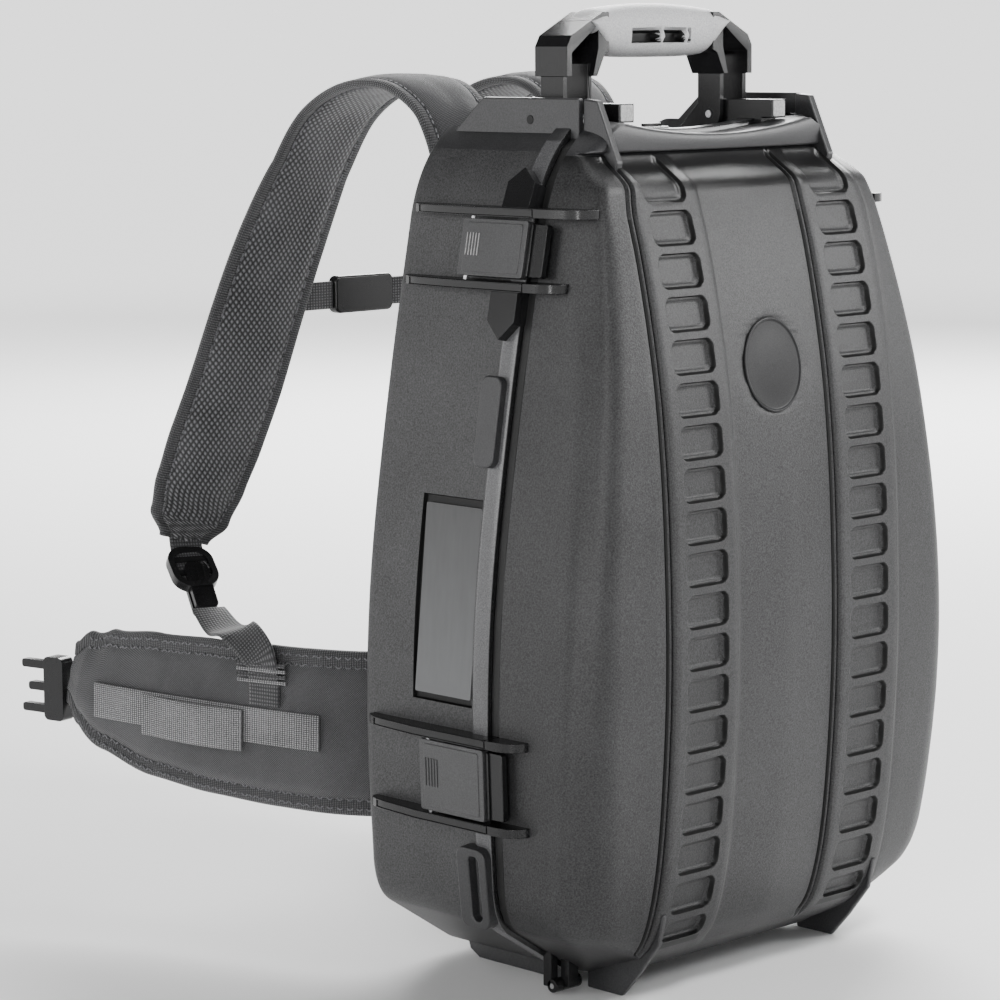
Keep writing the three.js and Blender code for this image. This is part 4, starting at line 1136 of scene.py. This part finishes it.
def strap_stations():
    """Rows of (x, y, z, half width, across) along the right strap."""
    w = 37
    return [
        (60, STRAP_BACK - 0.3, 498, 26, (-1, 0, 0)),
        (60, STRAP_BACK + 2, 532, 30, (-1, 0, 0)),
        (62, STRAP_BACK + 10, 562, w - 3, (-1, 0, 0)),
        (64, 190, 581, w, (-1, 0, 0)),
        (66, 232, 580, w, (-1, 0, 0)),
        (69, 270, 560, w, (-1, 0, 0)),
        (76, 293, 522, w, (-1, 0, 0)),
        (90, 310, 470, w, (-1, -0.15, 0)),
        (100, 323, 424, w, (-1, -0.22, 0)),
        (109, 338, 372, w, (-1, -0.28, 0)),
        (117, 351, 332, w, (-1, -0.3, 0)),
        (123, 362, 300, w - 2, (-1, -0.34, 0)),
        (127, 370, 276, w - 6, (-1, -0.36, 0)),
        (131, 373, 258.5, w - 18, (-1, -0.36, 0)),
    ]


def stitches(name, frames, rows, pitch=4.2, width=0.9):
    """Rows of thread on a band; each row is (distance from the edge, height, turn in degrees)."""
    length = 2.6
    skip = 3
    verts = []
    faces = []
    marks = [f[5] for f in frames]
    for k in range(skip, int(marks[-1] / pitch) - skip):
        i = int(np.searchsorted(marks, k * pitch))
        centre, tangent, across, normal, w, _ = frames[min(i, len(frames) - 1)]
        for inset, height, turn in rows:
            place = centre + across * math.copysign(w - abs(inset), inset) + normal * height
            angle = math.radians(turn if k % 2 else -turn)
            ahead = (tangent * math.cos(angle) + across * math.sin(angle)) * length / 2
            aside = (across * math.cos(angle) - tangent * math.sin(angle)) * width / 2
            up = normal * math.copysign(0.5, height)
            first = len(verts)
            for level in (-1, 1):
                verts += [at(*(place + ahead * a + aside * b + up * level))
                          for a, b in ((-1, -1), (1, -1), (1, 1), (-1, 1))]
            faces += [(first, first + 3, first + 2, first + 1), (first + 4, first + 5, first + 6, first + 7)]
            for a in range(4):
                b = (a + 1) % 4
                faces.append((first + a, first + b, first + 4 + b, first + 4 + a))
    mesh = new_mesh(name, [verts], faces)
    tidy_normals(mesh)
    finish_object(name, mesh, [THREAD], "case", 60)


def make_straps():
    tail = [(129.6, 374, 266), (132.5, 368, 252), (136.5, 357, 240), (139.6, 347, 231)]
    tail = [(*point, 12, (-1, -0.36, 0)) for point in tail]
    for side, sign in SIDES:
        rows = [(sign * x, y, z, w, (a, sign * b, c)) for x, y, z, w, (a, b, c) in strap_stations()]
        frames = frames_along(rows, 220)
        length = frames[-1][5]

        def wrinkle(a, _, run, w, sign=sign, length=length):
            ripple = smooth((run - (length - 70)) / 60) * 1.2 * math.sin(a * 0.75)
            fold = noise.noise(Vector((a * 0.05 * sign, run * 0.028, 3.1))) * 1.3
            fold += noise.noise(Vector((a * 0.16, run * 0.07, 8.0))) * 0.5
            return fold * (1 - abs(a / w) ** 4) + ripple * smooth(1 - abs(a / w) ** 3)

        materials = [OUTER_CLOTH, MESH_CLOTH, BINDING]
        obj = band_mesh(f"strap_{side}", frames, padded_section(6.6, 5.4, 3.0), materials, wrinkle=wrinkle)
        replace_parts(obj, f"shoulder_strap_{side}")
        seams = [(inset, up, 0) for up in (3.0, -3.0) for inset in (8.2, -8.2)]
        stitches(f"strap_thread_{side}", frames, seams)
        webbing(f"strap_tail_{side}", mirrored_rows(tail, sign), 30, 2.4)


# The right belt wing as rows of (x, y, z, half height)
WING = [
    (62, STRAP_BACK, 146, 55),
    (96, STRAP_BACK + 2, 146, 57),
    (126, 168, 146, 57),
    (146, 198, 146, 57),
    (160, 240, 146.5, 56.5),
    (173, 290, 148, 55),
    (184, 340, 151, 52),
    (192, 382, 157, 45),
    (196, 404, 163, 36),
    (198, 417, 166, 24),
]


def wing_point(share, out, z):
    """A point beside the right wing, a share of the way along it."""
    path = [row[:3] for row in WING]
    ends = [[2 * a - b for a, b in zip(path[0], path[1])]] + [list(p) for p in path] \
        + [[2 * a - b for a, b in zip(path[-1], path[-2])]]
    n = len(path)
    u = (1 + share * (n - 1)) / (n + 1)
    point = Vector(catmull(ends, u))
    tangent = (Vector(catmull(ends, u + 1e-3)) - Vector(catmull(ends, u - 1e-3))).normalized()
    away = Vector((tangent.y, -tangent.x, 0)).normalized() * out
    return (point.x + away.x, point.y + away.y, z)


def flat_section(thickness):
    """Plain webbing with rounded sides."""
    def section(w, _):
        h = thickness / 2
        c = h * 0.7
        half = [(-w + c + (2 * w - 2 * c) * i / 8, h, 0) for i in range(9)]
        half += [(w - 0.3 * c, h * 0.6, 0), (w, 0, 0), (w - 0.3 * c, -h * 0.6, 0)]
        other = [(-a, -b, mark) for a, b, mark in half]
        return half + other
    return section


def mirrored_rows(rows, sign):
    return [(sign * x, y, z, w, (sign * d[0], d[1], d[2])) for x, y, z, w, d in rows]


def make_belt():
    folds = ((248, 12, 34, 0.7), (214, 14, 38, 0.7), (120, 6, 36, -1.1), (92, -40, -12, 0.6))
    for side, sign in SIDES:
        frames = frames_along([(sign * x, y, z, w, (0, 0, 1)) for x, y, z, w in WING], 150)

        def wrinkle(a, b, run, w, sign=sign):
            fold = noise.noise(Vector((a * 0.035, run * 0.02 * sign, 5.7))) * 2.0
            fold += noise.noise(Vector((a * 0.12, run * 0.05, 2.0))) * 0.7
            for start, low, high, lean in folds:
                off = run - start + lean * (a - low)
                inside = smooth((a - low) / 6) * smooth((high - a) / 6)
                fold += (1.0 if b * sign > 0 else -1.0) * -1.5 * sign * inside * math.exp(-(off / 2.2) ** 2)
            return fold * (1 - abs(a / w) ** 4)

        section = padded_section(6.0, 6.0, 3.2, 12.0)
        obj = band_mesh(f"wing_{side}", frames, section, [BELT_CLOTH, BELT_CLOTH, BINDING], wrinkle=wrinkle)
        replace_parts(obj, f"belt_wing_{side}")
        rows = [(k * d, h, 38) for k in (1, -1) for d in (5.0, 11.5) for h in (3.4, -3.4)]
        stitches(f"wing_thread_{side}", frames, rows, 3.4, 0.8)

        strip = []
        loop = []
        for i in range(13):
            share = 0.35 + 0.46 * i / 12
            strip.append((*wing_point(share, 8.4, 146 + 10 * (share - 0.35)), 12.5, (0, 0, 1)))
            share = 0.49 + 0.19 * i / 12
            bulge = 1.6 + 5.0 * math.sin(math.pi * min(1, i / 12 + 0.12)) ** 0.8
            loop.append((*wing_point(share, 8.4 + bulge, 142 + 10 * (share - 0.35)), 14.5, (0, 0, 1)))
        strip = mirrored_rows(strip, sign)
        webbing(f"belt_strip_{side}", strip, 90, 2.2, f"belt_webbing_{side}", BELT_WEBBING)
        webbing(f"belt_loop_{side}", mirrored_rows(loop, sign), 60, 2.0, None, BELT_WEBBING)

        along = (-0.25, -1, 0)
        lower = [
            (145.8, 328.6, 215.5, 12.5, (-1, -0.3, 0)),
            (156, 300, 206, 12.5, (-0.8, -0.6, 0.2)),
            (168, 268, 209, 12.5, (-0.4, -1, 0.3)),
            (*wing_point(0.46, 10.3, 196), 12.5, along),
            (*wing_point(0.455, 8.3, 180), 12.5, along),
            (*wing_point(0.455, 8.0, 161.5), 12.5, along),
        ]
        for k, z in enumerate((190.5, 186.5, 182.5, 178.5)):
            ridge = [(*wing_point(0.411 + 0.0178 * i, 10.6 - 0.4 * k, z), 1.3, (0, 0, 1)) for i in range(6)]
            material = BELT_WEBBING if k % 2 else WEBBING
            webbing(f"keeper_{side}_{k}", mirrored_rows(ridge, sign), 12, 2.0, None, material)
        webbing(f"lower_strap_{side}", mirrored_rows(lower, sign), 80, 2.2, f"lower_webbing_{side}")


def make_back_pad():
    """The pad between the case and the wearer's back: crowned panels with sewn channels."""
    w = 108.0
    h = 225.0
    corner = 30.0
    back = []
    front = []
    for v in np.linspace(-1, 1, 121):
        for u in np.linspace(-1, 1, 61):
            x = u * w
            z = v * h
            qx = abs(x) - (w - corner)
            qz = abs(z) - (h - corner)
            if qx > 0 and qz > 0:
                k = max(qx, qz) / math.hypot(qx, qz)
                x = math.copysign(w - corner + qx * k, x)
                z = math.copysign(h - corner + qz * k, z)
            rim = min((1 - abs(u)) * w, (1 - abs(v)) * h)
            crown = smooth(rim / 16) ** 0.7
            channel = min(abs(abs(x) - 34), abs(z - 70), abs(z + 60))
            dent = 3.6 * (1 - smooth(channel / 9)) * smooth(rim / 14)
            fold = noise.noise(Vector((x * 0.03, z * 0.03, 1.0)))
            y = CASE_DEPTH + 9.6 + 7.6 * crown - dent + fold * crown
            back.append(at(x, min(y, 146.3), PAD_Z + z))
            front.append(at(x, CASE_DEPTH + 0.7, PAD_Z + z))
    n = 121
    m = 61
    faces = grid_faces(n, m)
    faces += [tuple(n * m + i for i in reversed(f)) for f in grid_faces(n, m)]
    edge = [j for j in range(m)] + [i * m + m - 1 for i in range(1, n)]
    edge += [(n - 1) * m + j for j in range(m - 2, -1, -1)] + [i * m for i in range(n - 2, 0, -1)]
    for here, there in zip(edge, edge[1:] + edge[:1]):
        faces.append((here, there, n * m + there, n * m + here))
    mesh = new_mesh("back_panel", [back, front], faces)
    tidy_normals(mesh)
    layer = mesh.uv_layers.new(name="cloth")
    for loop in mesh.loops:
        co = mesh.vertices[loop.vertex_index].co
        layer.data[loop.index].uv = (co.x, co.z)
    obj = finish_object("back_panel", mesh, [MESH_CLOTH], "case", 60)
    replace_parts(obj, "back_pad")


def make_adjuster(side, sign):
    """The ladder buckle below a shoulder strap: a rounded frame, its bars and ribs, and a ridged lever."""
    centre = Vector((139, 350, 234))
    along = Vector((-14, 44, 38)).normalized()
    across = Vector((-1, -0.3, 0))
    across = (across - along * across.dot(along)).normalized()
    normal = across.cross(along)

    def place(a, b, c):
        spot = centre + across * a + along * b + normal * c
        return (sign * spot.x, spot.y, spot.z)

    buckle = Moulding()
    buckle.ring(rounded(0, 9, 34, 38, 13, 8), rounded(0, 9, 25, 28, 9, 8), place, -3.5, 3.5)
    for b, height in ((17, 5), (5, 4)):
        buckle.prism(rounded(0, b, 28, height, 1.6, 3), place, -2.2, 2.2)
    for i in range(6):
        buckle.prism(rounded(-8 + 3.2 * i, -6, 1.3, 7, 0.5, 2), place, -2.8, 3.2)

    def lever(a, b, c):
        return place(a, b, c - 0.16 * (b - 8))

    for low, high in ((-5.2, -1.2), (2.0, 5.6)):
        buckle.prism(rounded(1, -8, 17, 38, 4, 5), lever, low, high)
        face = high if high > 0 else low
        for i in range(3):
            level = sorted((face, face + math.copysign(0.9, face)))
            buckle.prism(rounded(-3.6 + 4.6 * i, 0, 1.8, 18, 0.8, 3), lever, *level)
    obj = buckle.build(f"adjuster_{side}", TRIM, "case", 0.6, 2)
    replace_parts(obj, f"strap_adjuster_{side}")


def make_buckles():
    for side, sign in SIDES:
        make_adjuster(side, sign)
        rows = [(sign * x, 326, 430, 10, (0, 0, 1)) for x in (73.6, 46, 28.5)]
        webbing(f"chest_strap_{side}", rows, 30, 2.2, f"sternum_webbing_{side}")
    refined("sternum_buckle", TRIM, 1.8)
    refined("belt_buckle_plug", TRIM, 1.0)
    refined("belt_buckle_socket", TRIM, 1.6)


def paint_nodes():
    plates = [(f"label_plate_{side}", LABEL) for side, _ in SIDES]
    for name, material in [("rim_gasket", RUBBER)] + plates:
        frame["nodes"][name].data.materials.clear()
        frame["nodes"][name].data.materials.append(material)
    for name, node in frame["nodes"].items():
        if "_pin" in name:
            node.data.materials.clear()
            node.data.materials.append(STEEL)


make_camera()
make_stage()
make_lid()
make_tub()
make_mouldings()
badge_disc()
make_latches()
make_handle()
make_knob()
make_straps()
make_belt()
make_back_pad()
make_buckles()
paint_nodes()
